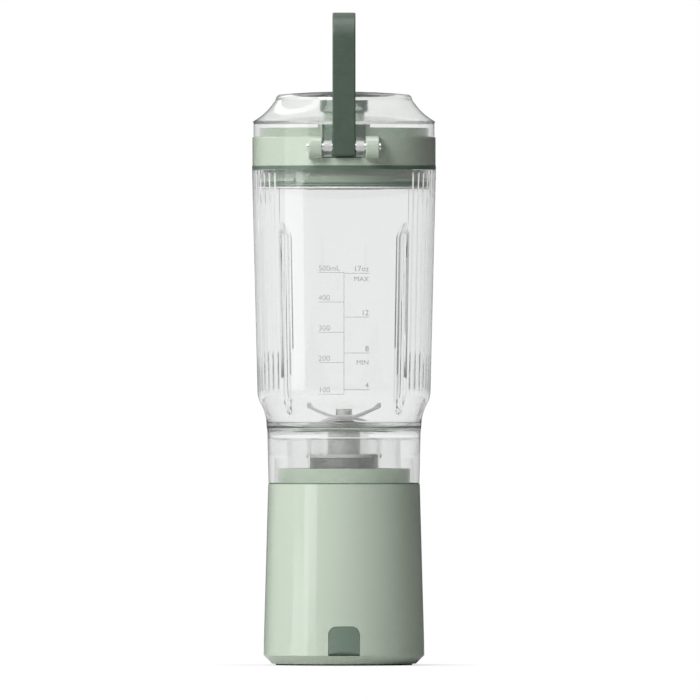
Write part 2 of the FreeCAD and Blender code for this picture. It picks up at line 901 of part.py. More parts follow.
def charge_flap():
    half = size.flap_width / 2
    door = rounded_door(half, size.flap_bottom, size.flap_top, size.flap_corner,
                        size.recess_depth * 2, flap_back_y - size.recess_depth * 2)
    skin = cut(shared([door, envelope()]), [envelope(-size.flap_skin)])
    below = centred_box(size.flap_width * 2, size.recess_depth * 4,
                        size.flap_swing_radius * 2, flap_axle_y - size.recess_depth * 2,
                        flap_axle_z - size.flap_swing_radius * 2)
    swing = cylinder(size.flap_swing_radius, size.flap_width * 2, -size.flap_width,
                     flap_axle_y, flap_axle_z, ALONG_X)
    trimmed = cut(skin, [cut(below, [swing])])
    barrel = cylinder(size.flap_barrel_radius, size.flap_barrel_length,
                      -size.flap_barrel_length / 2, flap_axle_y, flap_axle_z, ALONG_X)
    axle_half = recess_half + size.flap_axle_end
    axle = cylinder(size.flap_axle_radius, axle_half * 2, -axle_half, flap_axle_y,
                    flap_axle_z, ALONG_X)
    plug_front = -shell_radius_at(size.socket_middle) + size.flap_skin / 2
    plug = centred_box(size.flap_plug_width, flap_back_y - size.face_gap - plug_front,
                       size.flap_plug_height, plug_front,
                       size.socket_middle - size.flap_plug_height / 2)
    return joined([trimmed, barrel, axle, plug], "charge_flap")


# ---------------------------------------------------------------- base: motor and deck

def motor_can():
    nose_bottom = motor_top - size.motor_bearing_height
    inner = size.motor_radius - size.motor_wall
    can = turned([
        (size.motor_bearing_radius, nose_bottom),
        (size.motor_nose_radius, nose_bottom),
        (size.motor_nose_radius, motor_top - size.motor_wall),
        (inner, motor_top - size.motor_wall),
        (inner, motor_bottom),
        (size.motor_radius, motor_bottom),
        (size.motor_radius, motor_top),
        (size.motor_bearing_radius, motor_top),
    ])
    return cut(can, motor_screw_shanks(), "motor_can")


def motor_screw_shanks():
    bottom = size.base_height - size.motor_head_height - size.motor_screw_length
    return [cylinder(size.motor_screw_radius, size.motor_screw_length, x, z=bottom)
            for x in (-size.motor_screw_circle, size.motor_screw_circle)]


def motor_screws():
    screws = []
    heads_base = size.base_height - size.motor_head_height
    for shank, x in zip(motor_screw_shanks(), (-size.motor_screw_circle,
                                               size.motor_screw_circle)):
        head = cylinder(size.motor_head_radius, size.motor_head_height - size.push_gap, x,
                        z=heads_base)
        screws.append(joined([shank, head]))
    return group(screws, "motor_screws")


def motor_magnets():
    outer = size.motor_radius - size.motor_wall
    base = motor_bottom + size.armature_lift + (armature_height - magnet_height) / 2
    return group([ring_slice(outer - size.magnet_thickness, outer, magnet_height,
                             size.magnet_angle, side, base) for side in (0, 180)],
                 "motor_magnets")


def motor_end_cap():
    base = motor_bottom - size.motor_cap_height
    pocket = motor_bottom - size.motor_bearing_height
    return turned([
        (ZERO, base),
        (size.motor_radius, base),
        (size.motor_radius, motor_bottom),
        (size.motor_bearing_radius, motor_bottom),
        (size.motor_bearing_radius, pocket),
        (ZERO, pocket),
    ], "motor_end_cap")


def motor_bearings():
    bore = size.motor_shaft_radius + size.running_gap
    bottoms = (motor_bottom - size.motor_bearing_height,
               motor_top - size.motor_bearing_height)
    return group([tube(bore, size.motor_bearing_radius, bottom,
                       bottom + size.motor_bearing_height) for bottom in bottoms],
                 "motor_bearings")


def base_deck():
    cup_inner = size.motor_radius + size.push_gap
    cup_outer = cup_inner + size.motor_cup_wall
    cup_base = motor_top - size.motor_cup_depth
    deck_radius = size.rim_radius - size.shell_wall - size.push_gap
    collar_top = size.base_height + size.collar_height
    groove_radius = size.collar_bore + size.groove_depth
    deck = turned([
        (size.seal_radius, motor_top),
        (cup_inner, motor_top),
        (cup_inner, cup_base),
        (cup_outer, cup_base),
        (cup_outer, deck_underside),
        (deck_radius, deck_underside),
        (deck_radius, size.base_height),
        (size.collar_radius, size.base_height),
        (size.collar_radius, collar_top),
        (size.collar_bore, collar_top),
        (size.collar_bore, size.base_height + size.groove_height),
        (groove_radius, size.base_height + size.groove_height),
        (groove_radius, size.base_height),
        (size.seal_radius, size.base_height),
    ])
    slots = [sector(groove_radius, size.collar_height, size.lug_slot_angle, direction,
                    size.base_height) for direction in LUG_DIRECTIONS]
    heads = [cylinder(size.motor_head_radius + size.push_gap, size.motor_head_height * 2, x,
                      z=size.base_height - size.motor_head_height)
             for x in (-size.motor_screw_circle, size.motor_screw_circle)]
    return cut(deck, slots + heads + motor_screw_shanks(), "base_deck")


def shaft_seal():
    return tube(size.motor_shaft_radius + size.running_gap, size.seal_radius,
                size.base_height - size.seal_height, size.base_height, "shaft_seal")


# ---------------------------------------------------------------- rotor

def motor_shaft():
    base = motor_bottom - size.motor_bearing_height + size.face_gap
    return cylinder(size.motor_shaft_radius, motor_shaft_top - base, z=base,
                    label="motor_shaft")


def motor_armature():
    base = motor_bottom + size.armature_lift
    stack = cylinder(size.armature_radius, armature_height, z=base)
    slots = []
    for slot in range(ARMATURE_POLES):
        cutter = box(size.armature_slot_depth * 2, size.armature_slot,
                     armature_height, size.armature_radius - size.armature_slot_depth,
                     -size.armature_slot / 2, base)
        slots.append(spun(cutter, slot * 360 / ARMATURE_POLES))
    commutator = cylinder(size.commutator_radius, size.commutator_height,
                          z=base - size.commutator_height)
    return cut(joined([cut(stack, slots), commutator]), [shaft_bore()], "motor_armature")


def shaft_bore():
    return cylinder(size.motor_shaft_radius, motor_shaft_top, z=ZERO)


def teeth(base, offset):
    step = 360 / TEETH
    return [ring_slice(size.tooth_inner_radius, size.coupler_radius, size.tooth_height,
                       size.tooth_angle, step * tooth + offset, base)
            for tooth in range(TEETH)]


def drive_coupler():
    disc = cylinder(size.coupler_radius, size.coupler_disc, z=coupler_base)
    return cut(joined([disc] + teeth(drive_teeth_base, 0)), [shaft_bore()], "drive_coupler")


# ---------------------------------------------------------------- jar and blade unit

nut_plate_top = nut_bottom + size.nut_height
boss_underside = nut_plate_top + size.gasket_thickness
neck_base = nut_plate_top - size.nut_plate
jar_thread_base = jar_mouth_height - size.thread_below_mouth - size.thread_height


def jar_foot_ring():
    outer = size.jar_foot_radius - size.face_gap
    return tube(outer - size.jar_ring_width, outer, size.base_height, jar_foot,
                "jar_foot_ring")


def jar_shell():
    wall = size.jar_wall
    return turned([
        (size.jar_foot_radius - wall, jar_foot),
        (size.jar_foot_radius, jar_foot),
        (size.jar_waist_radius, jar_waist_height),
        (size.jar_flare_radius, jar_flare_height),
        (size.jar_shoulder_radius, jar_shoulder_height, size.flare_bend, "right"),
        (size.jar_body_radius, jar_body_height, size.shoulder_bend, "left"),
        (size.jar_mouth_radius, jar_mouth_height),
        (size.jar_mouth_radius - wall, jar_mouth_height),
        (size.jar_body_radius - wall, jar_body_height),
        (size.jar_shoulder_radius - wall, jar_shoulder_height,
         size.shoulder_bend - wall, "right"),
        (size.jar_flare_radius - wall, jar_flare_height, size.flare_bend + wall, "left"),
        (size.jar_floor_radius, jar_floor_top),
        (size.neck_radius, jar_floor_top),
        (size.neck_radius, boss_underside),
        (size.hub_boss_radius, boss_underside),
        (size.hub_boss_radius, jar_floor_underside),
        (size.jar_waist_radius - wall, jar_floor_underside),
    ])


def jar_rib(direction):
    """One of the upright ribs inside the jar that break up the swirl."""
    half_wall = size.jar_wall / 2
    ramp_start = rib_top - size.rib_ramp
    rib = symmetric(padded("XZ_Plane", [
        (size.jar_flare_radius - half_wall, rib_bottom),
        (size.jar_body_radius - half_wall, jar_body_height),
        (jar_radius_at(rib_top) - half_wall, rib_top),
        (jar_radius_at(ramp_start) - size.jar_wall - size.rib_depth, ramp_start),
        (size.jar_body_radius - size.jar_wall - size.rib_depth, jar_body_height),
    ], size.rib_width))
    return spun(rib, direction)


def flute_cutter(angle):
    """A square bar that cuts one upright V groove into the outside of the jar."""
    rise = float(jar_mouth_height - jar_body_height)
    run = float(size.jar_mouth_radius - size.jar_body_radius)
    lean = Rotation(Vector(0, rise, 0), Vector(0, rise, run))
    bar = new("Part::Box")
    bind(bar, "Length", size.flute_cutter)
    bind(bar, "Width", size.flute_cutter)
    bind(bar, "Height", flute_top - flute_bottom)
    radius = float(jar_radius_at(flute_bottom) - size.flute_depth)
    base = Vector(0, radius, float(flute_bottom))
    bar.Placement = FreeCAD.Placement(base, lean.inverted() * about_z(45))
    return spun(bar, angle)


def jar_vessel():
    prongs = []
    for direction in LUG_DIRECTIONS:
        prongs.append(ring_slice(
            size.prong_radius - size.prong_wall, size.prong_radius,
            jar_floor_underside + size.jar_floor_thickness / 2 - prong_end_height,
            size.prong_angle, direction, prong_end_height))
        prongs.append(ring_slice(
            size.prong_radius - size.prong_wall / 2,
            size.collar_bore + size.groove_depth - size.lug_gap,
            size.jar_lug_height, size.lug_length_angle, direction,
            prong_end_height + size.face_gap))
    ribs = [jar_rib(direction) for direction in RIB_DIRECTIONS]
    threads = [ring_slice(
        plug_radius + size.thread_gap, size.jar_mouth_radius - size.jar_wall / 2,
        size.thread_height, size.thread_angle, direction + RIDGE_TURN, jar_thread_base)
        for direction in LUG_DIRECTIONS]
    flutes = []
    for side in (-1, 1):
        for step in range(FLUTES_PER_SIDE):
            angle = float(size.flute_first_angle + size.flute_step_angle * step)
            flutes.append(flute_cutter(180 + side * angle))
    return cut(joined([jar_shell()] + prongs + ribs + threads), flutes, "jar_vessel")


def bearing_housing():
    bore = size.blade_bearing_radius
    floor = jar_floor_top
    flange_top = floor + size.neck_flange_height
    nose_top = flange_top + size.neck_nose_height
    return turned([
        (bore, neck_base),
        (size.neck_radius, neck_base),
        (size.neck_radius, floor),
        (size.neck_radius + size.neck_flange_width, floor),
        (size.neck_radius + size.neck_flange_width, flange_top),
        (size.neck_nose_radius, nose_top),
        (size.nose_bore, nose_top),
        (size.nose_bore, nose_top - size.nose_wall),
        (bore, nose_top - size.nose_wall),
    ], "bearing_housing")


def lock_nut():
    return turned([
        (size.neck_radius, neck_base),
        (size.nut_bore, neck_base),
        (size.nut_bore, nut_bottom),
        (size.nut_radius, nut_bottom),
        (size.nut_radius, nut_plate_top),
        (size.neck_radius, nut_plate_top),
    ], "lock_nut")


def hub_gasket():
    return tube(size.neck_radius, size.gasket_radius, nut_plate_top, boss_underside,
                "hub_gasket")


nose_top = jar_floor_top + size.neck_flange_height + size.neck_nose_height
upper_bearing_base = nose_top - size.nose_wall - size.blade_bearing_height
hub_base = nose_top + size.face_gap
lower_blade_base = hub_base + size.blade_hub_height
upper_blade_base = lower_blade_base + size.blade_thickness
cap_nut_base = upper_blade_base + size.blade_thickness


def blade_bearings():
    bore = size.blade_shaft_radius + size.running_gap
    return group([tube(bore, size.blade_bearing_radius, bottom,
                       bottom + size.blade_bearing_height)
                  for bottom in (neck_base, upper_bearing_base)], "blade_bearings")


def blade_shaft():
    base = drive_teeth_base + size.face_gap + size.tooth_height
    shaft = cylinder(size.blade_shaft_radius, cap_nut_base + size.cap_nut_height / 2 - base,
                     z=base)
    hub = cylinder(size.blade_hub_radius, size.blade_hub_height, z=hub_base)
    return joined([shaft, hub], "blade_shaft")


def blade_coupler():
    disc_base = drive_teeth_base + size.face_gap + size.tooth_height
    disc = cylinder(size.coupler_radius, size.coupler_disc, z=disc_base)
    body = joined([disc] + teeth(drive_teeth_base + size.face_gap, 180 / TEETH))
    bore = cylinder(size.blade_shaft_radius, nut_bottom, z=disc_base)
    return cut(body, [bore], "blade_coupler")


def blade(label, base, reach, rise, turn):
    """Two bent arms from one strip, with a hole for the shaft."""
    half = size.blade_width / 2
    tip = size.blade_tip_width / 2
    arms = []
    for side in (0, 180):
        bend = symmetric(padded("XZ_Plane", [
            (ZERO, base), (size.blade_root, base), (reach, base + rise),
            (reach, base + rise + size.blade_thickness),
            (size.blade_root, base + size.blade_thickness),
            (ZERO, base + size.blade_thickness),
        ], size.blade_width * 2))
        plan = symmetric(padded("XY_Plane", [
            (ZERO, -half), (size.blade_root, -half), (reach, -tip), (reach, half - tip),
            (size.blade_root, half), (ZERO, half),
        ], jar_body_height * 2))
        arms.append(spun(shared([bend, plan]), side + turn))
    bore = cylinder(size.blade_shaft_radius, jar_body_height, z=ZERO)
    return cut(joined(arms), [bore], label)


def cap_nut():
    nut = cylinder(size.cap_nut_radius, size.cap_nut_height, z=cap_nut_base)
    thread = cylinder(size.blade_shaft_radius, size.cap_nut_height / 2, z=cap_nut_base)
    return cut(nut, [thread], "cap_nut")


# ---------------------------------------------------------------- lid

def lid_gasket():
    return tube(plug_radius + size.face_gap, size.jar_mouth_radius,
                jar_mouth_height, lid_base, "lid_gasket")


def lug(side):
    """One fixed ear of the hinge, with the block that ties it to the lid ring."""
    inner = size.hinge_pocket_half + size.face_gap
    x = inner if side > 0 else -inner - size.lug_width
    ear = rounded_rod(size.lug_radius, size.lug_width, size.lug_edge, x, hinge_y,
                      pin_height, ALONG_X)
    root = box(size.lug_width, size.lug_radius + size.plug_wall,
               ring_top - pin_height + size.lug_radius, x, hinge_y,
               pin_height - size.lug_radius)
    return joined([ear, root])


def lid_body():
    plug_bore = plug_radius - size.plug_wall
    plug_base = jar_mouth_height - size.plug_depth
    bowl = turned([
        (plug_bore, plug_base),
        (plug_radius, plug_base),
        (plug_radius, lid_base),
        (lid_radius, lid_base),
        (lid_radius, ring_top - size.lid_edge),
        (lid_radius - size.lid_edge, ring_top, size.lid_edge, "left"),
        (lid_collar_radius, ring_top),
        (lid_collar_radius, deck_top),
        (ZERO, deck_top),
        (ZERO, deck_top - size.lid_top_thickness),
        (plug_bore, deck_top - size.lid_top_thickness),
    ])
    ridge_base = jar_thread_base - size.ridge_drop - size.thread_height
    ridges = [ring_slice(plug_radius - size.plug_wall / 2,
                         jar_bore_at_mouth - size.ridge_gap, size.thread_height,
                         size.thread_angle, direction, ridge_base)
              for direction in LUG_DIRECTIONS]
    frame_half = size.hinge_pocket_half + size.hinge_frame_width
    frame = shared([
        centred_box(frame_half * 2, size.lug_radius, size.hinge_frame_height + size.push_gap,
                    -lid_collar_radius, deck_top - size.push_gap),
        cylinder(lid_collar_radius, lid_radius * 2, z=lid_base),
    ])
    pocket = cylinder(size.hinge_pocket_radius, size.hinge_pocket_half * 2,
                      -size.hinge_pocket_half, hinge_y, pin_height, ALONG_X)
    opening = centred_box(size.hinge_pocket_half * 2,
                          pin_offset - hinge_pocket_back + size.hinge_pocket_radius,
                          size.lid_ring_height * 2, hinge_y - size.hinge_pocket_radius,
                          pin_height)
    spout = stadium(size.spout_width, size.spout_depth,
                    size.spout_height + size.lid_top_thickness / 2, size.spout_offset,
                    deck_top - size.lid_top_thickness / 2)
    bore = stadium(size.spout_width - size.spout_wall * 2,
                   size.spout_depth - size.spout_wall * 2,
                   size.spout_height * 2, size.spout_offset, deck_top - size.spout_height / 2)
    whole = joined([bowl, lug(-1), lug(1), frame, spout] + ridges)
    return cut(whole, [pocket, opening, bore, pin_bar(size.pin_radius)], "lid_body")


def pin_bar(radius):
    half = size.hinge_pocket_half + size.face_gap + size.lug_width + size.pin_proud
    return cylinder(radius, half * 2, -half, hinge_y, pin_height, ALONG_X)


def hinge_pin():
    half = size.hinge_pocket_half + size.face_gap + size.lug_width + size.pin_proud
    return rounded_rod(size.pin_radius, half * 2, size.pin_edge, -half, hinge_y,
                       pin_height, ALONG_X, "hinge_pin")


# ---------------------------------------------------------------- dome

bead_base = skirt_base + size.dome_skirt_height
flank_base = bead_base + size.dome_bead_height
crown_base = flank_base + size.dome_flank_height
crown_top = crown_base + size.dome_crown_rise
dome_apex = crown_top + size.dome_top_rise
thumb_tab_base = skirt_base + size.thumb_tab_height
seal_base = deck_top + size.spout_height + size.face_gap
seal_boss_base = seal_base + size.spout_seal_height - size.seal_boss_height


def dome_top(rim, drop, shares):
    """Points of the shallow top, a parabola that falls to crown_top at the radius called rim."""
    points = []
    for share in shares:
        fall = size.dome_top_rise * share * share
        points.append((rim * share, dome_apex - drop - fall))
    return points


def dome_shell():
    wall = size.dome_wall
    crown = dome_crown_radius
    rim = crown - size.dome_crown_run
    return turned([
        (dome_radius - wall, skirt_base),
        (dome_radius, skirt_base),
        (dome_radius, bead_base),
        (dome_radius + size.dome_bead, bead_base),
        (dome_radius + size.dome_bead, flank_base),
        (crown, crown_base, size.dome_flank_bend, "right"),
        (rim, crown_top, size.dome_crown_bend, "left"),
        *dome_top(rim, ZERO, reversed(DOME_TOP_SHARES)),
        (ZERO, dome_apex),
        (ZERO, dome_apex - wall),
        *dome_top(rim - wall / 2, wall, DOME_TOP_SHARES + (1,)),
        (crown - size.dome_inner_crown_inset, crown_base - size.dome_inner_crown_drop),
        (dome_radius - wall, bead_base - size.dome_inner_flank_drop,
         size.dome_flank_bend + wall, "left"),
    ])


def dome_arm(side):
    """One clear knuckle on the pin and the arm that ties it to the skirt."""
    inner = size.handle_width / 2 + size.face_gap
    x = inner if side > 0 else -inner - size.knuckle_width
    knuckle = cylinder(size.knuckle_radius, size.knuckle_width, x, hinge_y, pin_height,
                       ALONG_X)
    arm = box(size.knuckle_width, size.arm_front + size.arm_back,
              bead_base - pin_height, x, hinge_y - size.arm_front, pin_height)
    return joined([knuckle, arm])


def dome_cover():
    tab = centred_box(size.thumb_tab_width, size.thumb_tab_reach + size.dome_wall / 2,
                      size.thumb_tab_thickness, dome_radius - size.dome_wall / 2,
                      thumb_tab_base)
    seal_boss = stadium(size.spout_width - size.seal_boss_margin,
                        size.spout_depth - size.seal_boss_margin,
                        dome_apex - size.dome_wall / 2 - seal_boss_base, size.spout_offset,
                        seal_boss_base)
    whole = joined([dome_shell(), dome_arm(-1), dome_arm(1), tab, seal_boss])
    return cut(whole, [pin_bar(size.pin_radius + size.running_gap)], "dome_cover")


def spout_seal():
    width = size.spout_width + size.seal_overhang * 2
    depth = size.spout_depth + size.seal_overhang * 2
    plug = stadium(width, depth, size.spout_seal_height, size.spout_offset, seal_base)
    pocket = stadium(size.spout_width - size.seal_boss_margin,
                     size.spout_depth - size.seal_boss_margin, size.seal_boss_height * 2,
                     size.spout_offset, seal_boss_base)
    return cut(plug, [pocket], "spout_seal")


# ---------------------------------------------------------------- carry handle

def carry_handle():
    """A strap from the hinge pin up, over the dome and down to the thumb tab."""
    near_out = hinge_y - size.handle_front
    near_in = near_out + size.handle_thickness
    far_out = pin_offset + size.lug_radius
    far_in = far_out - size.handle_thickness
    low = pin_height - size.handle_end
    far_low = thumb_tab_base + size.thumb_tab_thickness + size.face_gap
    top = handle_top_height
    under = top - size.handle_thickness
    bend = size.handle_bend
    inner_bend = bend - size.handle_thickness
    small = size.handle_end_bend
    strap = symmetric(padded("YZ_Plane", [
        (near_out + small, low, small, "left"),
        (near_in - small, low),
        (near_in, low + small, small, "left"),
        (near_in, top - bend),
        (near_in + inner_bend, under, inner_bend, "right"),
        (far_in - inner_bend, under),
        (far_in, top - bend, inner_bend, "right"),
        (far_in, far_low + small),
        (far_in + small, far_low, small, "left"),
        (far_out - small, far_low),
        (far_out, far_low + small, small, "left"),
        (far_out, top - bend),
        (far_out - bend, top, bend, "left"),
        (near_out + bend, top),
        (near_out, top - bend, bend, "left"),
        (near_out, low + small),
    ], size.handle_width))
    half = SIZES["handle_width"] / 2
    soften(strap, size.handle_edge, lambda spot: abs(abs(spot.x) - half) < EDGE_TOLERANCE)
    return cut(strap, [pin_bar(size.pin_radius + size.running_gap)], "carry_handle")


# ---------------------------------------------------------------- the whole part

parts = [
    base_housing(), base_cover(), cover_screws(), foot_ring(), battery_tray(),
    battery_cell("battery_cell_rear", -1), battery_cell("battery_cell_front", 1),
    cell_strips(), cell_clamp(), charge_board(), charge_socket(), main_board(),
    power_switch(), light_ring(), motor_can(), motor_magnets(), motor_end_cap(),
    motor_bearings(), motor_screws(), base_deck(), shaft_seal(),
    motor_shaft(), motor_armature(), drive_coupler(),
    charge_flap(), power_button(),
    jar_foot_ring(), jar_vessel(), bearing_housing(), lock_nut(), hub_gasket(),
    blade_bearings(),
    blade_shaft(), blade_coupler(), cap_nut(),
    blade("lower_blade", lower_blade_base, size.lower_tip_radius, -size.lower_tip_drop,
          LOWER_BLADE_TURN),
    blade("upper_blade", upper_blade_base, size.upper_tip_radius, size.upper_tip_rise,
          UPPER_BLADE_TURN),
    lid_gasket(), lid_body(), hinge_pin(), dome_cover(), spout_seal(), carry_handle(),
]
doc.recompute()

failed = [thing.Label for thing in doc.Objects if {"Invalid", "Error"} & set(thing.State)]
if failed:
    raise RuntimeError(f"failed objects: {failed}")
for part in parts:
    if part.Shape.isNull() or not part.Shape.isValid():
        raise RuntimeError(f"bad shape: {part.Label}")

os.makedirs("parts", exist_ok=True)
for part in parts:
    part.Shape.exportStep(f"parts/{part.Label}.step")
    box_of_part = part.Shape.BoundBox
    print(f"{part.Label}: {len(part.Shape.Solids)} solids, {part.Shape.Volume:.0f} mm3, "
          f"z {box_of_part.ZMin:.2f} to {box_of_part.ZMax:.2f}")
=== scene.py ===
"""Looks of the cordless portable blender: materials, fine pieces, light and camera.

+Z is up, and -Y is the side with the charging flap, the lid's hinge and the jar's scale.
Pieces are drawn in millimetres, which MM turns to metres. Materials, lamps and the camera are in
metres. Directions round Z are in degrees from -Y towards +X.
"""
import json
from math import atan2, cos, hypot, pi, radians, sin, sqrt

import bmesh
import bpy
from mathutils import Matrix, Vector


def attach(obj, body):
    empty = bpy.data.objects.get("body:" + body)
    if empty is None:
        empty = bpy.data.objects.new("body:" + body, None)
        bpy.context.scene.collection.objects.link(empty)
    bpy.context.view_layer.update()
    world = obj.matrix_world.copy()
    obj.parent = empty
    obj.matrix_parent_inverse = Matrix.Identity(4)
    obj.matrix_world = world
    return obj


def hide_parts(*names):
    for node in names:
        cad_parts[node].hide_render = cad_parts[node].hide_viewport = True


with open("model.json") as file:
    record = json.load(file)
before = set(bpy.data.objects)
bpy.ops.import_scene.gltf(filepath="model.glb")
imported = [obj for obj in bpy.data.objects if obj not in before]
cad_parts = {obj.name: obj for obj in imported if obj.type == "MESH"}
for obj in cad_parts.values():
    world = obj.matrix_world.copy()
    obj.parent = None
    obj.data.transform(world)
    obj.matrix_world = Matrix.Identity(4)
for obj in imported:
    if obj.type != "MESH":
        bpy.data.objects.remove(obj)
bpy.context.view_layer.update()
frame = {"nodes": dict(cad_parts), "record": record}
nodes = frame["nodes"]
MM = 0.001


# ---------------------------------------------------------------- shader nodes

def feed(tree, socket, value):
    """Gives a socket its value: a number, a colour or the socket of another node."""
    if isinstance(value, (int, float)):
        socket.default_value = value
    elif isinstance(value, tuple):
        socket.default_value = (*value, 1)
    else:
        tree.links.new(value, socket)


def math_node(tree, operation, first, second=0.0):
    node = tree.nodes.new("ShaderNodeMath")
    node.operation = operation
    for socket, value in zip(node.inputs, (first, second)):
        feed(tree, socket, value)
    return node.outputs["Value"]


def mix(tree, factor, first, second, kind="FLOAT"):
    """first where factor is 0, second where it is 1. kind is FLOAT or RGBA."""
    node = tree.nodes.new("ShaderNodeMix")
    node.data_type = kind
    for name, value in (("Factor", factor), ("A", first), ("B", second)):
        feed(tree, node.inputs[name], value)
    return node.outputs["Result"]


def map_range(tree, value, from_min, from_max, to_min, to_max, kind="SMOOTHSTEP"):
    node = tree.nodes.new("ShaderNodeMapRange")
    node.interpolation_type = kind
    for name, number in (("Value", value), ("From Min", from_min), ("From Max", from_max),
                         ("To Min", to_min), ("To Max", to_max)):
        feed(tree, node.inputs[name], number)
    return node.outputs["Result"]


def coordinates(tree, kind="Object"):
    """Sockets X, Y and Z of a point on an object, or of a ray's direction in the world."""
    place = tree.nodes.new("ShaderNodeTexCoord")
    parts = tree.nodes.new("ShaderNodeSeparateXYZ")
    tree.links.new(place.outputs[kind], parts.inputs["Vector"])
    return parts.outputs


def noise_of(tree, scale, detail=3.0, stretch=(1, 1, 1)):
    """Noise in object space: scale is in cycles a metre."""
    place = tree.nodes.new("ShaderNodeTexCoord")
    mapping = tree.nodes.new("ShaderNodeMapping")
    mapping.inputs["Scale"].default_value = stretch
    noise = tree.nodes.new("ShaderNodeTexNoise")
    noise.inputs["Scale"].default_value = scale
    noise.inputs["Detail"].default_value = detail
    tree.links.new(place.outputs["Object"], mapping.inputs["Vector"])
    tree.links.new(mapping.outputs["Vector"], noise.inputs["Vector"])
    return noise.outputs["Fac"]


def add_bump(tree, shader, height, depth_mm):
    bump = tree.nodes.new("ShaderNodeBump")
    bump.inputs["Strength"].default_value = 1.0
    bump.inputs["Distance"].default_value = depth_mm * MM
    tree.links.new(height, bump.inputs["Height"])
    tree.links.new(bump.outputs["Normal"], shader.inputs["Normal"])


# ---------------------------------------------------------------- materials

NOISE_SPAN = (0.3, 0.7)  # where most of a noise texture's values lie
MOTTLE_SCALE, GLOSS_SCALE = 60, 180
PLASTIC_IOR = 1.53
WAVE_SCALE, WAVE_DETAIL, WAVE_STRETCH, WAVE_DEPTH_MM = 18, 1.0, (1, 1, 0.04), 0.001
HAZE_FADE_IN, HAZE_FADE_OUT = 0.002, 0.001

SAGE = (0.480, 0.554, 0.460)
# Darker sage on the deck under the jar: painted shade, as the jar casts no shadow here.
DECK_SAGE_PAINTED_SHADE = (0.330, 0.390, 0.318)
LID_SAGE = (0.430, 0.497, 0.412)
# Painted shade on the lid: under the jar and the dome, and in the hinge's pocket.
SAGE_PAINTED_SHADE = (0.225, 0.278, 0.218)
POCKET_PAINTED_SHADE = (0.120, 0.170, 0.125)
DEEP = (0.053, 0.079, 0.058)
SILICONE = (0.132, 0.184, 0.142)

# The pocket round the hinge: half its width, its back, its floor. Jar and dome cover the lid
# below PLUG_TOP and above RING_TOP. The lid has painted shade in the pocket and in both
# covered parts, since jar and dome cast no shadow here.
POCKET_HALF, POCKET_BACK, POCKET_BASE = 0.01125, -0.0405, 0.2699
PLUG_TOP, RING_TOP = 0.26595, 0.28142


def new_material(name, colour, rough, metal=0.0):
    """A Principled material. Returns it with its tree and its shader."""
    made = bpy.data.materials.new(name)
    made.use_nodes = True
    tree = made.node_tree
    shader = tree.nodes["Principled BSDF"]
    shader.inputs["Base Color"].default_value = (*colour, 1)
    shader.inputs["Roughness"].default_value = rough
    shader.inputs["Metallic"].default_value = metal
    return made, tree, shader


def moulded(name, colour, rough, grain_scale, grain_depth_mm, mottle=0.03, spread=0.05,
            stretch=(1, 1, 1), metal=0.0):
    """Moulded or machined stuff: faint mottling, uneven gloss and a fine surface grain."""
    made, tree, shader = new_material(name, colour, rough, metal)
    dark = tuple(c * (1 - mottle) for c in colour)
    light = tuple(min(1, c * (1 + mottle)) for c in colour)
    feed(tree, shader.inputs["Base Color"],
         mix(tree, noise_of(tree, MOTTLE_SCALE), dark, light, "RGBA"))
    gloss = noise_of(tree, GLOSS_SCALE, stretch=stretch)
    feed(tree, shader.inputs["Roughness"],
         map_range(tree, gloss, *NOISE_SPAN, rough - spread, rough + spread, "LINEAR"))
    add_bump(tree, shader, noise_of(tree, grain_scale, stretch=stretch), grain_depth_mm)
    return made


def recolour(tree, shader, mask, colour):
    """Another colour where mask is 1."""
    base = shader.inputs["Base Color"]
    feed(tree, base, mix(tree, mask, base.links[0].from_socket, colour, "RGBA"))


def lid_plastic_and_painted_shade():
    """Sage plastic, deeper where jar and dome cover it, and dark in the hinge's pocket: painted
    shade.
    """
    made = moulded("lid_sage_and_painted_shade", LID_SAGE, 0.10, 1400, 0.0006, 0.012, 0.02)
    tree = made.node_tree
    shader = tree.nodes["Principled BSDF"]
    place = coordinates(tree)
    narrow = math_node(tree, "LESS_THAN", math_node(tree, "ABSOLUTE", place["X"]), POCKET_HALF)
    front = math_node(tree, "LESS_THAN", place["Y"], POCKET_BACK)
    above = math_node(tree, "GREATER_THAN", place["Z"], POCKET_BASE)
    pocket = math_node(tree, "MULTIPLY", narrow, math_node(tree, "MULTIPLY", front, above))
    # Painted shade: darker under the jar and the dome, which cast no shadow here, and in the
    # pocket.
    covered_shade_mask = math_node(tree, "MAXIMUM", math_node(tree, "LESS_THAN", place["Z"], PLUG_TOP),
                        math_node(tree, "GREATER_THAN", place["Z"], RING_TOP))
    recolour(tree, shader, covered_shade_mask, SAGE_PAINTED_SHADE)
    recolour(tree, shader, pocket, POCKET_PAINTED_SHADE)
    return made


def clear(name, tint, low, high, haze):
    """Clear plastic, slightly wavy. haze is its roughness between two heights."""
    made, tree, shader = new_material(name, tint, 0.0)
    shader.inputs["Transmission Weight"].default_value = 1.0
    shader.inputs["IOR"].default_value = PLASTIC_IOR
    add_bump(tree, shader, noise_of(tree, WAVE_SCALE, WAVE_DETAIL, WAVE_STRETCH), WAVE_DEPTH_MM)
    z = coordinates(tree)["Z"]
    rise = map_range(tree, z, low - HAZE_FADE_IN, low, 0.0, haze)
    fall = map_range(tree, z, high - HAZE_FADE_OUT, high, 1.0, 0.0)
    feed(tree, shader.inputs["Roughness"], math_node(tree, "MULTIPLY", rise, fall))
    return made


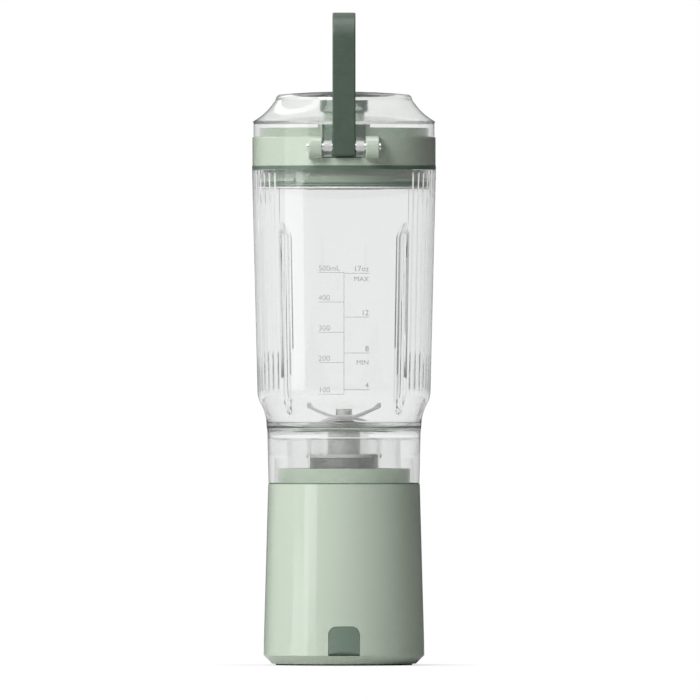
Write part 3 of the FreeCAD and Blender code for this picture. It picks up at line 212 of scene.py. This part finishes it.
# Colour, roughness, grain in cycles a metre and its depth in millimetres. Then, where it isn't
# moulded()'s own: mottling, spread of the roughness, stretch of the grain, metal.
MOULDED = {
    "sage_gloss": (SAGE, 0.08, 1400, 0.0004, 0.012, 0.02),
    "deck_sage_painted_shade": (DECK_SAGE_PAINTED_SHADE, 0.08, 1400, 0.0004, 0.012, 0.02),
    "deep_green": (DEEP, 0.40, 3200, 0.004, 0.04),
    "green_silicone": (SILICONE, 0.55, 2600, 0.006, 0.05),
    "stainless": ((0.58, 0.58, 0.57), 0.24, 500, 0.002, 0.05, 0.07, (1, 1, 14), 1.0),
    "nut_steel": ((0.36, 0.36, 0.35), 0.22, 500, 0.002, 0.05, 0.07, (1, 1, 14), 1.0),
    "pin_chrome": ((0.78, 0.78, 0.78), 0.08, 900, 0.0008, 0.02, 0.03, (14, 1, 1), 1.0),
    "gasket_green": ((0.100, 0.153, 0.113), 0.20, 2600, 0.003, 0.04),
    "seal_green": ((0.050, 0.085, 0.060), 0.40, 2600, 0.004, 0.04),
    "gasket_grey": ((0.38, 0.38, 0.375), 0.45, 2600, 0.004),
    "white_silicone": ((0.62, 0.63, 0.61), 0.45, 2600, 0.004),
    "black_rubber": ((0.10, 0.13, 0.11), 0.6, 2600, 0.008),
    "black_plastic": ((0.030, 0.031, 0.031), 0.42, 2400, 0.006),
    "white_plastic": ((0.80, 0.82, 0.80), 0.30, 2400, 0.002),
    "zinc_steel": ((0.55, 0.56, 0.57), 0.30, 600, 0.003, 0.05, 0.08, (1, 1, 10), 1.0),
    "magnet_dark": ((0.07, 0.07, 0.075), 0.5, 2200, 0.01, 0.1),
    "armature_copper": ((0.52, 0.24, 0.11), 0.35, 900, 0.03, 0.12, 0.1, (1, 1, 12), 0.9),
    "cell_wrap": ((0.05, 0.14, 0.34), 0.25, 1200, 0.003),
    "nickel": ((0.60, 0.58, 0.52), 0.28, 700, 0.002, 0.05, 0.08, (9, 1, 1), 1.0),
    "board_green": ((0.018, 0.12, 0.055), 0.35, 1800, 0.004, 0.15),
    "print_grey": ((0.30, 0.31, 0.31), 0.5, 3000, 0.001),
}
MATERIALS = {name: moulded(name, *settings) for name, settings in MOULDED.items()}
MATERIALS["lid_sage_and_painted_shade"] = lid_plastic_and_painted_shade()
MATERIALS["clear_plastic"] = clear("clear_plastic", (0.922, 0.929, 0.925), 0.1125, 0.1340, 0.08)
MATERIALS["dome_clear"] = clear("dome_clear", (0.955, 0.960, 0.957), 0.2905, 0.3020, 0.09)

# Nodes that look a little different from the rest of their slot. The deck's and the lid's looks
# hold painted shade.
LOOKS = {
    "lid_gasket": "gasket_green",
    "jar_foot_ring": "gasket_green",
    "lid_body": "lid_sage_and_painted_shade",
    "dome_cover": "dome_clear",
    "lock_nut": "nut_steel",
    "hub_gasket": "gasket_grey",
    "base_deck": "deck_sage_painted_shade",
    "spout_seal": "seal_green",
}

for part in frame["record"]["subparts"]:
    node = nodes[part["node"]]
    node.data.materials.clear()
    look = LOOKS.get(part["node"], part["material_slot"])
    node.data.materials.append(MATERIALS[look])


# ---------------------------------------------------------------- mesh helpers

SMOOTH_ANGLE = 30


def object_of(name, vertices, faces, body, look):
    """A mesh piece from vertices in millimetres."""
    mesh = bpy.data.meshes.new(name)
    mesh.from_pydata([tuple(c * MM for c in v) for v in vertices], [], faces)
    mesh.validate()
    work = bmesh.new()
    work.from_mesh(mesh)
    bmesh.ops.recalc_face_normals(work, faces=work.faces)
    work.to_mesh(mesh)
    work.free()
    mesh.shade_smooth()
    mesh.set_sharp_from_angle(angle=radians(SMOOTH_ANGLE))
    made = bpy.data.objects.new(name, mesh)
    bpy.context.scene.collection.objects.link(made)
    made.data.materials.append(MATERIALS[look])
    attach(made, body)
    return made


def arc(start, end, radius, turn, steps):
    """Points after start on the shorter arc to end, bending to the left or to the right."""
    (x0, y0), (x1, y1) = start, end
    dx, dy = x1 - x0, y1 - y0
    half = hypot(dx, dy) / 2
    rise = sqrt(radius ** 2 - half ** 2) * (1 if turn == "left" else -1)
    cx = (x0 + x1) / 2 - dy / (2 * half) * rise
    cy = (y0 + y1) / 2 + dx / (2 * half) * rise
    first = atan2(y0 - cy, x0 - cx)
    sweep = (atan2(y1 - cy, x1 - cx) - first + pi) % (2 * pi) - pi
    return [(cx + radius * cos(first + sweep * k / steps),
             cy + radius * sin(first + sweep * k / steps)) for k in range(1, steps + 1)]


def even_angles(count):
    return [-180 + 360 * k / count for k in range(count)]


def spun(name, profile, angles, body, look, shape=None):
    """A closed loop of (radius, z) turned about Z. shape(radius, z, index, angle) may bend it."""
    vertices, faces = [], []
    for angle in angles:
        a = radians(angle)
        for index, (radius, z) in enumerate(profile):
            r = shape(radius, z, index, angle) if shape else radius
            vertices.append((r * sin(a), -r * cos(a), z))
    rows, columns = len(profile), len(angles)
    for column in range(columns):
        after = (column + 1) % columns
        for row in range(rows):
            nxt = (row + 1) % rows
            faces.append((column * rows + row, after * rows + row,
                          after * rows + nxt, column * rows + nxt))
    return object_of(name, vertices, faces, body, look)


def bar_faces(steps):
    """Faces of a closed four-sided bar through steps + 1 rings of four vertices."""
    sides = [(k * 4 + s, k * 4 + (s + 1) % 4, k * 4 + 4 + (s + 1) % 4, k * 4 + 4 + s)
             for k in range(steps) for s in range(4)]
    return sides + [(0, 1, 2, 3), tuple(steps * 4 + k for k in (3, 2, 1, 0))]


# ---------------------------------------------------------------- clear jar

# Wall: radius outside and inside at the foot of its flare, and how far it flares up to the rim.
WALL_OUTSIDE, WALL_INSIDE = 46.1, 43.3
FLARE_FOOT, FLARE_HEIGHT, FLARE = 145.5, 118.5, 2.9
RIM = 264.0
DECK_UNDER, DECK_TOP = 121.5, 124.7

# Grooves outside, in directions round Z, with half their width in degrees and their depth.
FLUTES = [side * (48.8 + 5.47 * k) for side in (-1, 1) for k in range(16)]
FLUTE_HALF, FLUTE_DEPTH = 0.72, 0.55
FLUTE_LOW, FLUTE_HIGH = 147, 262.5
FLUTE_MARKS = (-1.2, -FLUTE_HALF, -0.36, 0, 0.36, FLUTE_HALF, 1.2)
FLUTE_CLEAR, FLUTE_NEAR = 1.3, 1.25

# Ribs inside: half their width, the sides' slope, and (z, radius) along their inner face.
RIBS = (-135, -45, 45, 135)
RIB_HALF, RIB_SIDE, RIB_CLEAR = 3.2, 0.5, 0.1
RIB_MARKS = (-RIB_HALF, -2.7, -1.4, 0, 1.4, 2.7, RIB_HALF)
RIB_TRACK = [(134, 39.9), (145.5, 40.3), (228, 42.32), (236, 46.9)]
NO_RIB = 99

# Ridges under the rim that hold the lid.
RIDGES = (-120, 0, 120)
RIDGE_HALF, RIDGE_RADIUS = 25.0, 44.3
RIDGE_LOW, RIDGE_HIGH = 259.5, 261.3
RIDGE_MARKS = (-RIDGE_HALF, -24.8, 24.8, RIDGE_HALF)

JAR_COLUMNS = 240
LEAST_STEP = 0.05

# Directions of the three posts beside the nut, each with its lug.
POSTS = (-60, 60, 180)
BLOCK_STEPS = 14


def flared(radius, z):
    """Radius at z of a wall that has this radius at the flare's foot."""
    return radius + (z - FLARE_FOOT) * FLARE / FLARE_HEIGHT


def jar_outside():
    points = [(40.2, 97.1), (40.5, 110.0), (40.8, 124.2), (41.3, 127.9)]
    points += arc(points[-1], (44.2, 139.1), 23.0, "right", 8)
    points += arc(points[-1], (WALL_OUTSIDE, FLARE_FOOT), 14.0, "left", 6)
    points += [(46.13, 146.5), (46.15, 147.2)]
    points += [(flared(WALL_OUTSIDE, z), z) for z in (170, 195, 220, 245, 262.2, 262.8)]
    return points + [(49.0, 263.7), (48.7, RIM)]


def jar_inside():
    points = [(46.5, RIM), (46.2, 263.7), (46.14, 261.4), (46.13, 261.2), (46.1, 259.6),
              (46.09, 259.4)]
    points += [(flared(WALL_INSIDE, z), z) for z in (250, 236, 234, 232, 230, 228, 150)]
    points += [(WALL_INSIDE, FLARE_FOOT)]
    points += arc(points[-1], (41.4, 139.1), 11.2, "right", 6)
    points += arc(points[-1], (39.1, 130.0), 25.8, "left", 5)
    return points + arc(points[-1], (34.6, DECK_TOP), 6.5, "right", 8)


OUTSIDE, INSIDE = jar_outside(), jar_inside()
UNDERSIDE = [(20, DECK_TOP), (8.7, DECK_TOP), (8.7, 112.5), (19.4, 112.5), (19.4, 120.9),
             (20.0, DECK_UNDER), (37.4, DECK_UNDER), (38.0, 120.9), (37.6, 105.0), (37.4, 97.1)]


def near(angle, centres):
    """Distance in degrees to the nearest of some directions."""
    return min(abs((angle - c + 180) % 360 - 180) for c in centres)


def rib_face(z):
    """Radius of a rib's inner face, or more than the jar's where there is no rib."""
    for (z0, r0), (z1, r1) in zip(RIB_TRACK, RIB_TRACK[1:]):
        if z0 <= z <= z1:
            return r0 + (r1 - r0) * (z - z0) / (z1 - z0)
    return NO_RIB


def jar_shape(radius, z, index, angle):
    if index < len(OUTSIDE):
        if FLUTE_LOW < z < FLUTE_HIGH:
            share = max(0.0, 1 - near(angle, FLUTES) / FLUTE_HALF)
            return radius - FLUTE_DEPTH * share
    elif index < len(OUTSIDE) + len(INSIDE):
        rib = near(angle, RIBS)
        if rib < RIB_HALF:
            blend = min(1.0, (RIB_HALF - rib) / RIB_SIDE)
            return radius - max(0.0, radius - rib_face(z)) * blend
        if RIDGE_LOW < z < RIDGE_HIGH and near(angle, RIDGES) < RIDGE_HALF:
            return RIDGE_RADIUS
    return radius


def jar_angles():
    """Even directions, with closer ones at the edges of flutes, ribs and ridges."""
    marks = {round(a, 3) for a in even_angles(JAR_COLUMNS)}
    for centre in FLUTES:
        marks = {a for a in marks if near(a, [centre]) > FLUTE_CLEAR}
        marks |= {centre + d for d in FLUTE_MARKS}
    for centre in RIBS:
        marks = {a for a in marks if near(a, [centre]) > RIB_HALF + RIB_CLEAR
                 or near(a, FLUTES) < FLUTE_NEAR}
        marks |= {centre + d for d in RIB_MARKS}
    for centre in RIDGES:
        marks |= {centre + d for d in RIDGE_MARKS}
    turned = sorted({round((a + 180) % 360 - 180, 3) for a in marks})
    return [a for a, b in zip(turned, turned[1:] + [turned[0] + 360]) if b - a > LEAST_STEP]


def ring_block(name, inside, outside, low, high, half, middle):
    """A closed piece of a ring, half degrees to each side of a direction."""
    vertices = []
    for step in range(BLOCK_STEPS + 1):
        a = radians(middle - half + 2 * half * step / BLOCK_STEPS)
        for radius, z in ((inside, low), (outside, low), (outside, high), (inside, high)):
            vertices.append((radius * sin(a), -radius * cos(a), z))
    return object_of(name, vertices, bar_faces(BLOCK_STEPS), "jar", "clear_plastic")


jar = spun("jar_glass", OUTSIDE + INSIDE + UNDERSIDE, jar_angles(), "jar", "clear_plastic",
           jar_shape)
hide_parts("jar_vessel")
jar.visible_shadow = False
nodes["dome_cover"].visible_shadow = False

for number, middle in enumerate(POSTS, start=1):
    prong = ring_block(f"jar_prong_{number}", 27.9, 30.4, 98.0, 121.45, 22, middle)
    lug = ring_block(f"jar_lug_{number}", 30.45, 32.8, 98.3, 100.9, 10, middle)
    prong.visible_shadow = lug.visible_shadow = False


# ---------------------------------------------------------------- printed scale

LINE_HALF, LINE_STEPS = 0.12, 12
LINE_SUNK, LINE_PROUD = 0.01, 0.06
ML_EDGE, OZ_EDGE = -13.7, 13.4
ML_TEXT_EDGE, OZ_TEXT_EDGE = -13.6, 13.3
NUMBER_HEIGHT, WORD_HEIGHT = 3.0, 2.7
CAP_SHARE, CURVE_STEPS = 0.72, 4
TEXT_THINNING, TEXT_HALF_DEPTH, TEXT_LIFT = 0.028, 0.025, 0.035

# Text, height of its line, height of its foot.
ML_MARKS = (("500mL", 209.1, 210.0), ("400", 193.4, 194.3), ("300", 177.3, 178.2),
            ("200", 161.2, 162.1), ("100", 144.4, 145.3))
OZ_MARKS = (("17oz", 208.7, 209.7), ("12", 185.4, 186.3), ("8", 166.3, 167.2),
            ("4", 146.8, 147.7))
WORDS = (("MAX", 204.4), ("MIN", 160.0))


def on_jar(x, z, lift):
    """A point on the front of the jar, lift millimetres off it."""
    radius = flared(WALL_OUTSIDE, z) + lift
    return x, -sqrt(radius * radius - x * x), z


def printed_lines():
    """One upright line and a level one for each mark, all following the jar."""
    bars = [(-LINE_HALF, LINE_HALF, ML_MARKS[-1][1], ML_MARKS[0][1], 1)]
    for left, right, marks in ((ML_EDGE, 0.0, ML_MARKS), (0.0, OZ_EDGE, OZ_MARKS)):
        bars += [(left, right, z - LINE_HALF, z + LINE_HALF, LINE_STEPS) for _, z, _ in marks]
    vertices, faces = [], []
    for left, right, low, high, steps in bars:
        offset = len(vertices)
        for k in range(steps + 1):
            x = left + (right - left) * k / steps
            for z, lift in ((low, LINE_SUNK), (high, LINE_SUNK), (high, LINE_PROUD),
                            (low, LINE_PROUD)):
                vertices.append(on_jar(x, z, lift))
        faces += [tuple(v + offset for v in face) for face in bar_faces(steps)]
    return object_of("scale_lines", vertices, faces, "jar", "print_grey")


def printed_text(name, text, x, z, height, align):
    """Text on the jar's front, its foot at z."""
    curve = bpy.data.curves.new(name, "FONT")
    curve.body = text
    curve.size = height / CAP_SHARE * MM
    curve.align_x = align
    curve.offset = -TEXT_THINNING * MM
    curve.resolution_u = CURVE_STEPS
    curve.extrude = TEXT_HALF_DEPTH * MM
    source = bpy.data.objects.new(name + "_source", curve)
    bpy.context.scene.collection.objects.link(source)
    bpy.context.view_layer.update()
    mesh = bpy.data.meshes.new_from_object(
        source.evaluated_get(bpy.context.evaluated_depsgraph_get()))
    bpy.data.objects.remove(source)
    for vertex in mesh.vertices:
        px, pz = vertex.co.x / MM + x, vertex.co.y / MM + z
        lift = TEXT_LIFT + vertex.co.z / MM
        vertex.co = Vector(on_jar(px, pz, lift)) * MM
    mesh.materials.clear()
    mesh.materials.append(MATERIALS["print_grey"])
    made = bpy.data.objects.new(name, mesh)
    bpy.context.scene.collection.objects.link(made)
    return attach(made, "jar")


printed_lines()
for text, _, z in ML_MARKS:
    printed_text(f"scale_ml_{text}", text, ML_TEXT_EDGE, z, NUMBER_HEIGHT, "LEFT")
for text, _, z in OZ_MARKS:
    printed_text(f"scale_oz_{text}", text, OZ_TEXT_EDGE, z, NUMBER_HEIGHT, "RIGHT")
for text, z in WORDS:
    printed_text(f"scale_{text}", text, OZ_TEXT_EDGE, z, WORD_HEIGHT, "RIGHT")


# ---------------------------------------------------------------- lid plug seal

SEAL_COLUMNS = 160
WIPER = [(42.0, 253.6), (44.9, 253.6), (45.6, 254.1), (45.4, 254.8), (43.9, 254.95),
         (42.0, 254.95)]
SEAL = [(43.92, 255.1), (45.2, 255.1), (45.8, 255.5), (45.2, 256.0), (45.2, 256.3),
        (45.8, 256.8), (45.2, 257.3), (43.92, 257.4)]

spun("lid_wiper", WIPER, even_angles(SEAL_COLUMNS), "lid", "white_silicone")
spun("lid_seal", SEAL, even_angles(SEAL_COLUMNS), "lid", "green_silicone")


# ---------------------------------------------------------------- small trims

# The tapered shell: its radius at SHELL_FOOT and how much less it is SHELL_HEIGHT higher.
SHELL_RADIUS, SHELL_FOOT, SHELL_HEIGHT, SHELL_TAPER = 42.9, 5.3, 91.2, 2.5
FRONT, BACK = -1, 1

FLAP_HALF, FLAP_FOOT, FLAP_MIDDLE, FLAP_SHOULDER, FLAP_TOP = 8.25, 6.4, 12.0, 16.4, 20.75
FLAP_TOP_HALF, FLAP_CORNER = 3.9, 4.35
GAP_HALF, GAP_SUNK, GAP_PROUD = 0.14, -0.9, -0.02

BUTTON_Z = 52.0
MARK_HALF, MARK_SUNK, MARK_PROUD = 0.3, 0.3, 0.56
MARK_RADIUS, MARK_BAR_LOW, MARK_BAR_HIGH = 2.6, 0.7, 3.3
MARK_ANGLES = range(38, 323, 12)

STADIUM_POINTS = 32
SPOUT_Y = 20.0
SLEEVE = [(11.05, 7.05, 291.2), (12.1, 8.1, 291.2), (12.9, 8.9, 292.0), (12.9, 8.9, 295.9),
          (12.5, 8.5, 296.4), (11.05, 7.05, 296.4)]


def stadium_loop(half_width, half_depth, offset):
    """Points round a stadium whose long side lies along X, its centre at y = offset."""
    straight = half_width - half_depth
    return [((straight if cos(a) >= 0 else -straight) + half_depth * cos(a),
             offset + half_depth * sin(a))
            for a in (2 * pi * (k + 0.5) / STADIUM_POINTS for k in range(STADIUM_POINTS))]


def stadium_ring(name, layers, offset, body, look):
    """A closed ring: layers of (half width, half depth, z) go up the outside, down the inside."""
    vertices, faces = [], []
    for half_width, half_depth, z in layers:
        vertices += [(x, y, z) for x, y in stadium_loop(half_width, half_depth, offset)]
    for row in range(len(layers)):
        here, after = row * STADIUM_POINTS, (row + 1) % len(layers) * STADIUM_POINTS
        for k in range(STADIUM_POINTS):
            nxt = (k + 1) % STADIUM_POINTS
            faces.append((here + k, here + nxt, after + nxt, after + k))
    return object_of(name, vertices, faces, body, look)


def ribbon(name, path, half_width, sunk, proud, side, body, look):
    """A thin strip along (x, z) points on the tapered shell, at its FRONT or BACK."""
    vertices = []
    for k, (x, z) in enumerate(path):
        x0, z0 = path[max(k - 1, 0)]
        x1, z1 = path[min(k + 1, len(path) - 1)]
        length = hypot(x1 - x0, z1 - z0)
        nx, nz = (z1 - z0) / length * half_width, (x0 - x1) / length * half_width
        for px, pz, lift in ((x - nx, z - nz, sunk), (x + nx, z + nz, sunk),
                             (x + nx, z + nz, proud), (x - nx, z - nz, proud)):
            radius = SHELL_RADIUS - (pz - SHELL_FOOT) * SHELL_TAPER / SHELL_HEIGHT + lift
            vertices.append((px, side * sqrt(radius * radius - px * px), pz))
    return object_of(name, vertices, bar_faces(len(path) - 1), body, look)


flap_edge = [(-FLAP_HALF, FLAP_FOOT), (-FLAP_HALF, FLAP_MIDDLE), (-FLAP_HALF, FLAP_SHOULDER)]
flap_edge += arc(flap_edge[-1], (-FLAP_TOP_HALF, FLAP_TOP), FLAP_CORNER, "right", 8)
flap_edge += [(0.0, FLAP_TOP), (FLAP_TOP_HALF, FLAP_TOP)]
flap_edge += arc(flap_edge[-1], (FLAP_HALF, FLAP_SHOULDER), FLAP_CORNER, "right", 8)
flap_edge += [(FLAP_HALF, FLAP_MIDDLE), (FLAP_HALF, FLAP_FOOT)]
# A dark ribbon in the gap round the charging flap: painted shade in the gap.
ribbon("flap_gap_shade", flap_edge, GAP_HALF, GAP_SUNK, GAP_PROUD, FRONT, "base", "black_plastic")

mark_ring = [(MARK_RADIUS * sin(radians(a)), BUTTON_Z + MARK_RADIUS * cos(radians(a)))
             for a in MARK_ANGLES]
mark_bar = [(0.0, BUTTON_Z + MARK_BAR_LOW), (0.0, BUTTON_Z + MARK_BAR_HIGH)]
for name, path in (("button_mark_ring", mark_ring), ("button_mark_bar", mark_bar)):
    ribbon(name, path, MARK_HALF, MARK_SUNK, MARK_PROUD, BACK, "button", "white_plastic")

stadium_ring("spout_sleeve", SLEEVE, SPOUT_Y, "lid", "seal_green")


# ---------------------------------------------------------------- light, floor, camera

# Strength of the world from its dark side to its bright one, with the span of the ray's x
# between them: as light, in mirrors, and inside clear plastic.
ROOM, ROOM_SPAN = (0.27, 0.02), (-0.8, 0.6)
MIRROR, MIRROR_SPAN = (0.75, 0.08), (-0.99, -0.55)
INNER, INNER_SPAN = (0.95, 0.80), (-0.6, 0.6)
# What mirrors see above, with the span of the ray's z, and a brighter panel in it.
ABOVE, ABOVE_SPAN = 0.8, (0.12, 0.5)
PANEL, PANEL_LEFT, PANEL_RIGHT = 4.0, (-0.57, -0.51), (-0.43, -0.37)

AIM_HEIGHT = 0.17
STRIP_DISTANCE = 3.0
# Azimuth, distance, height, width, tall, radiance, and whether mirrors see it.
LAMPS = {
    "key_left": (-72, 1.4, 0.85, 0.8, 0.8, 2.0, True),
    "key": (-33, 1.4, 1.15, 0.6, 0.8, 15.2, True),
    "top": (-10, 0.35, 1.7, 0.8, 0.8, 3.6, True),
    "fill_back": (185, 1.4, 0.85, 0.8, 0.8, 4.0, False),
}
# Degrees to the left of -Y at both sides, heights at both ends, radiance.
STRIPS = {
    "strip_jar": (53, 80, 0.0, 0.172, 1.9),
    "strip_base": (41, 62, 0.145, 0.262, 2.4),
    "strip_ring": (46, 80, 0.262, 0.40, 1.6),
}

FLOOR_HALF, FLOOR_COLOUR, FLOOR_ROUGH = 3.0, (0.66, 0.66, 0.66), 0.6
# The floor shows as floor under the object, and as backdrop further from the middle.
SHADOW_NEAR, SHADOW_FAR, SHADOW_SHARE = 0.04, 0.085, 0.62

PIXEL, PIXELS = 0.533 * MM, 700
EYE_DISTANCE, EYE_HEIGHT, SENSOR_MM = 16.0, 0.17, 36.0
CLIP_START, CLIP_END = 1.0, 100.0
AIM_RIGHT_PIXELS, AIM_UP_PIXELS = 6, 315


def sees_backdrop(tree):
    """1 for rays to the eye, straight or through clear plastic with no mirror on the way."""
    path = tree.nodes.new("ShaderNodeLightPath")
    direct = math_node(tree, "LESS_THAN", path.outputs["Glossy Depth"], 0.5)
    through = math_node(tree, "MULTIPLY", path.outputs["Is Transmission Ray"], direct)
    return math_node(tree, "MAXIMUM", path.outputs["Is Camera Ray"], through), path


def world_light():
    """White behind the object; for light and mirrors a room that is bright on the left."""
    world = bpy.data.worlds.new("studio")
    bpy.context.scene.world = world
    world.use_nodes = True
    tree = world.node_tree
    tree.nodes.clear()
    seen, path = sees_backdrop(tree)
    ray = coordinates(tree, "Generated")
    room = map_range(tree, ray["X"], *ROOM_SPAN, *ROOM)
    mirror = map_range(tree, ray["X"], *MIRROR_SPAN, *MIRROR)
    above = map_range(tree, ray["Z"], *ABOVE_SPAN, 0.0, ABOVE)
    panel = math_node(tree, "MULTIPLY", map_range(tree, ray["X"], *PANEL_LEFT, 0, 1),
                      map_range(tree, ray["X"], *PANEL_RIGHT, PANEL, 1))
    above = math_node(tree, "MULTIPLY", above, math_node(tree, "MAXIMUM", panel, 1.0))
    mirror = math_node(tree, "MAXIMUM", mirror, above)
    inner = map_range(tree, ray["X"], *INNER_SPAN, *INNER)
    light = mix(tree, path.outputs["Is Glossy Ray"], room, mirror)
    light = mix(tree, path.outputs["Is Transmission Ray"], light, inner)
    background = tree.nodes.new("ShaderNodeBackground")
    background.inputs["Color"].default_value = (1, 1, 1, 1)
    tree.links.new(mix(tree, seen, light, 1.0), background.inputs["Strength"])
    output = tree.nodes.new("ShaderNodeOutputWorld")
    tree.links.new(background.outputs["Background"], output.inputs["Surface"])
    world.cycles.sampling_method = "NONE"


def area_light(name, azimuth, distance, height, width, tall, radiance, mirrored):
    """A soft panel that faces the object."""
    lamp = bpy.data.lights.new(name, "AREA")
    lamp.shape = "RECTANGLE"
    lamp.size, lamp.size_y = width, tall
    lamp.energy = radiance * pi * width * tall
    made = bpy.data.objects.new(name, lamp)
    bpy.context.scene.collection.objects.link(made)
    a = radians(azimuth)
    made.location = (distance * sin(a), -distance * cos(a), height)
    aim = Vector((0, 0, min(height, AIM_HEIGHT))) - made.location
    made.rotation_mode = "QUATERNION"
    made.rotation_quaternion = aim.to_track_quat("-Z", "Y")
    made.visible_camera = False
    made.visible_transmission = False
    made.visible_glossy = mirrored


def strip_light(name, right, left, low, high, radiance):
    """An upright panel between two azimuths and two heights."""
    half = radians(left - right) / 2
    area_light(name, -(right + left) / 2, STRIP_DISTANCE * cos(half), (low + high) / 2,
               2 * STRIP_DISTANCE * sin(half), high - low, radiance, True)


def floor():
    mesh = bpy.data.meshes.new("floor")
    mesh.from_pydata([(x * FLOOR_HALF, y * FLOOR_HALF, 0)
                      for x, y in ((-1, -1), (1, -1), (1, 1), (-1, 1))], [], [(0, 1, 2, 3)])
    made = bpy.data.objects.new("floor", mesh)
    bpy.context.scene.collection.objects.link(made)
    stuff, tree, shader = new_material("floor", FLOOR_COLOUR, FLOOR_ROUGH)
    glow = tree.nodes.new("ShaderNodeEmission")
    place = tree.nodes.new("ShaderNodeTexCoord")
    length = tree.nodes.new("ShaderNodeVectorMath")
    length.operation = "LENGTH"
    tree.links.new(place.outputs["Object"], length.inputs[0])
    reach = map_range(tree, length.outputs["Value"], SHADOW_NEAR, SHADOW_FAR, SHADOW_SHARE, 1.0)
    blend = tree.nodes.new("ShaderNodeMixShader")
    tree.links.new(math_node(tree, "MULTIPLY", sees_backdrop(tree)[0], reach),
                   blend.inputs["Fac"])
    tree.links.new(shader.outputs["BSDF"], blend.inputs[1])
    tree.links.new(glow.outputs["Emission"], blend.inputs[2])
    tree.links.new(blend.outputs["Shader"], tree.nodes["Material Output"].inputs["Surface"])
    mesh.materials.append(stuff)


def camera():
    """Straight on and far away, with PIXEL metres of the object to each pixel."""
    data = bpy.data.cameras.new("camera")
    data.sensor_width = SENSOR_MM
    data.lens = EYE_DISTANCE * SENSOR_MM / (PIXEL * PIXELS)
    data.clip_start, data.clip_end = CLIP_START, CLIP_END
    made = bpy.data.objects.new("camera", data)
    bpy.context.scene.collection.objects.link(made)
    target = Vector((AIM_RIGHT_PIXELS * PIXEL, 0, AIM_UP_PIXELS * PIXEL))
    made.location = (target.x, -EYE_DISTANCE, EYE_HEIGHT)
    made.rotation_mode = "QUATERNION"
    made.rotation_quaternion = (target - made.location).to_track_quat("-Z", "Y")
    bpy.context.scene.camera = made


world_light()
for name, settings in LAMPS.items():
    area_light(name, *settings)
for name, settings in STRIPS.items():
    strip_light(name, *settings)
floor()
camera()

scene = bpy.context.scene
scene.view_settings.view_transform = "Standard"
scene.cycles.max_bounces = 64
scene.cycles.transmission_bounces = 64
scene.cycles.glossy_bounces = 32
scene.cycles.sample_clamp_indirect = 1.5
scene.cycles.denoising_input_passes = "RGB"
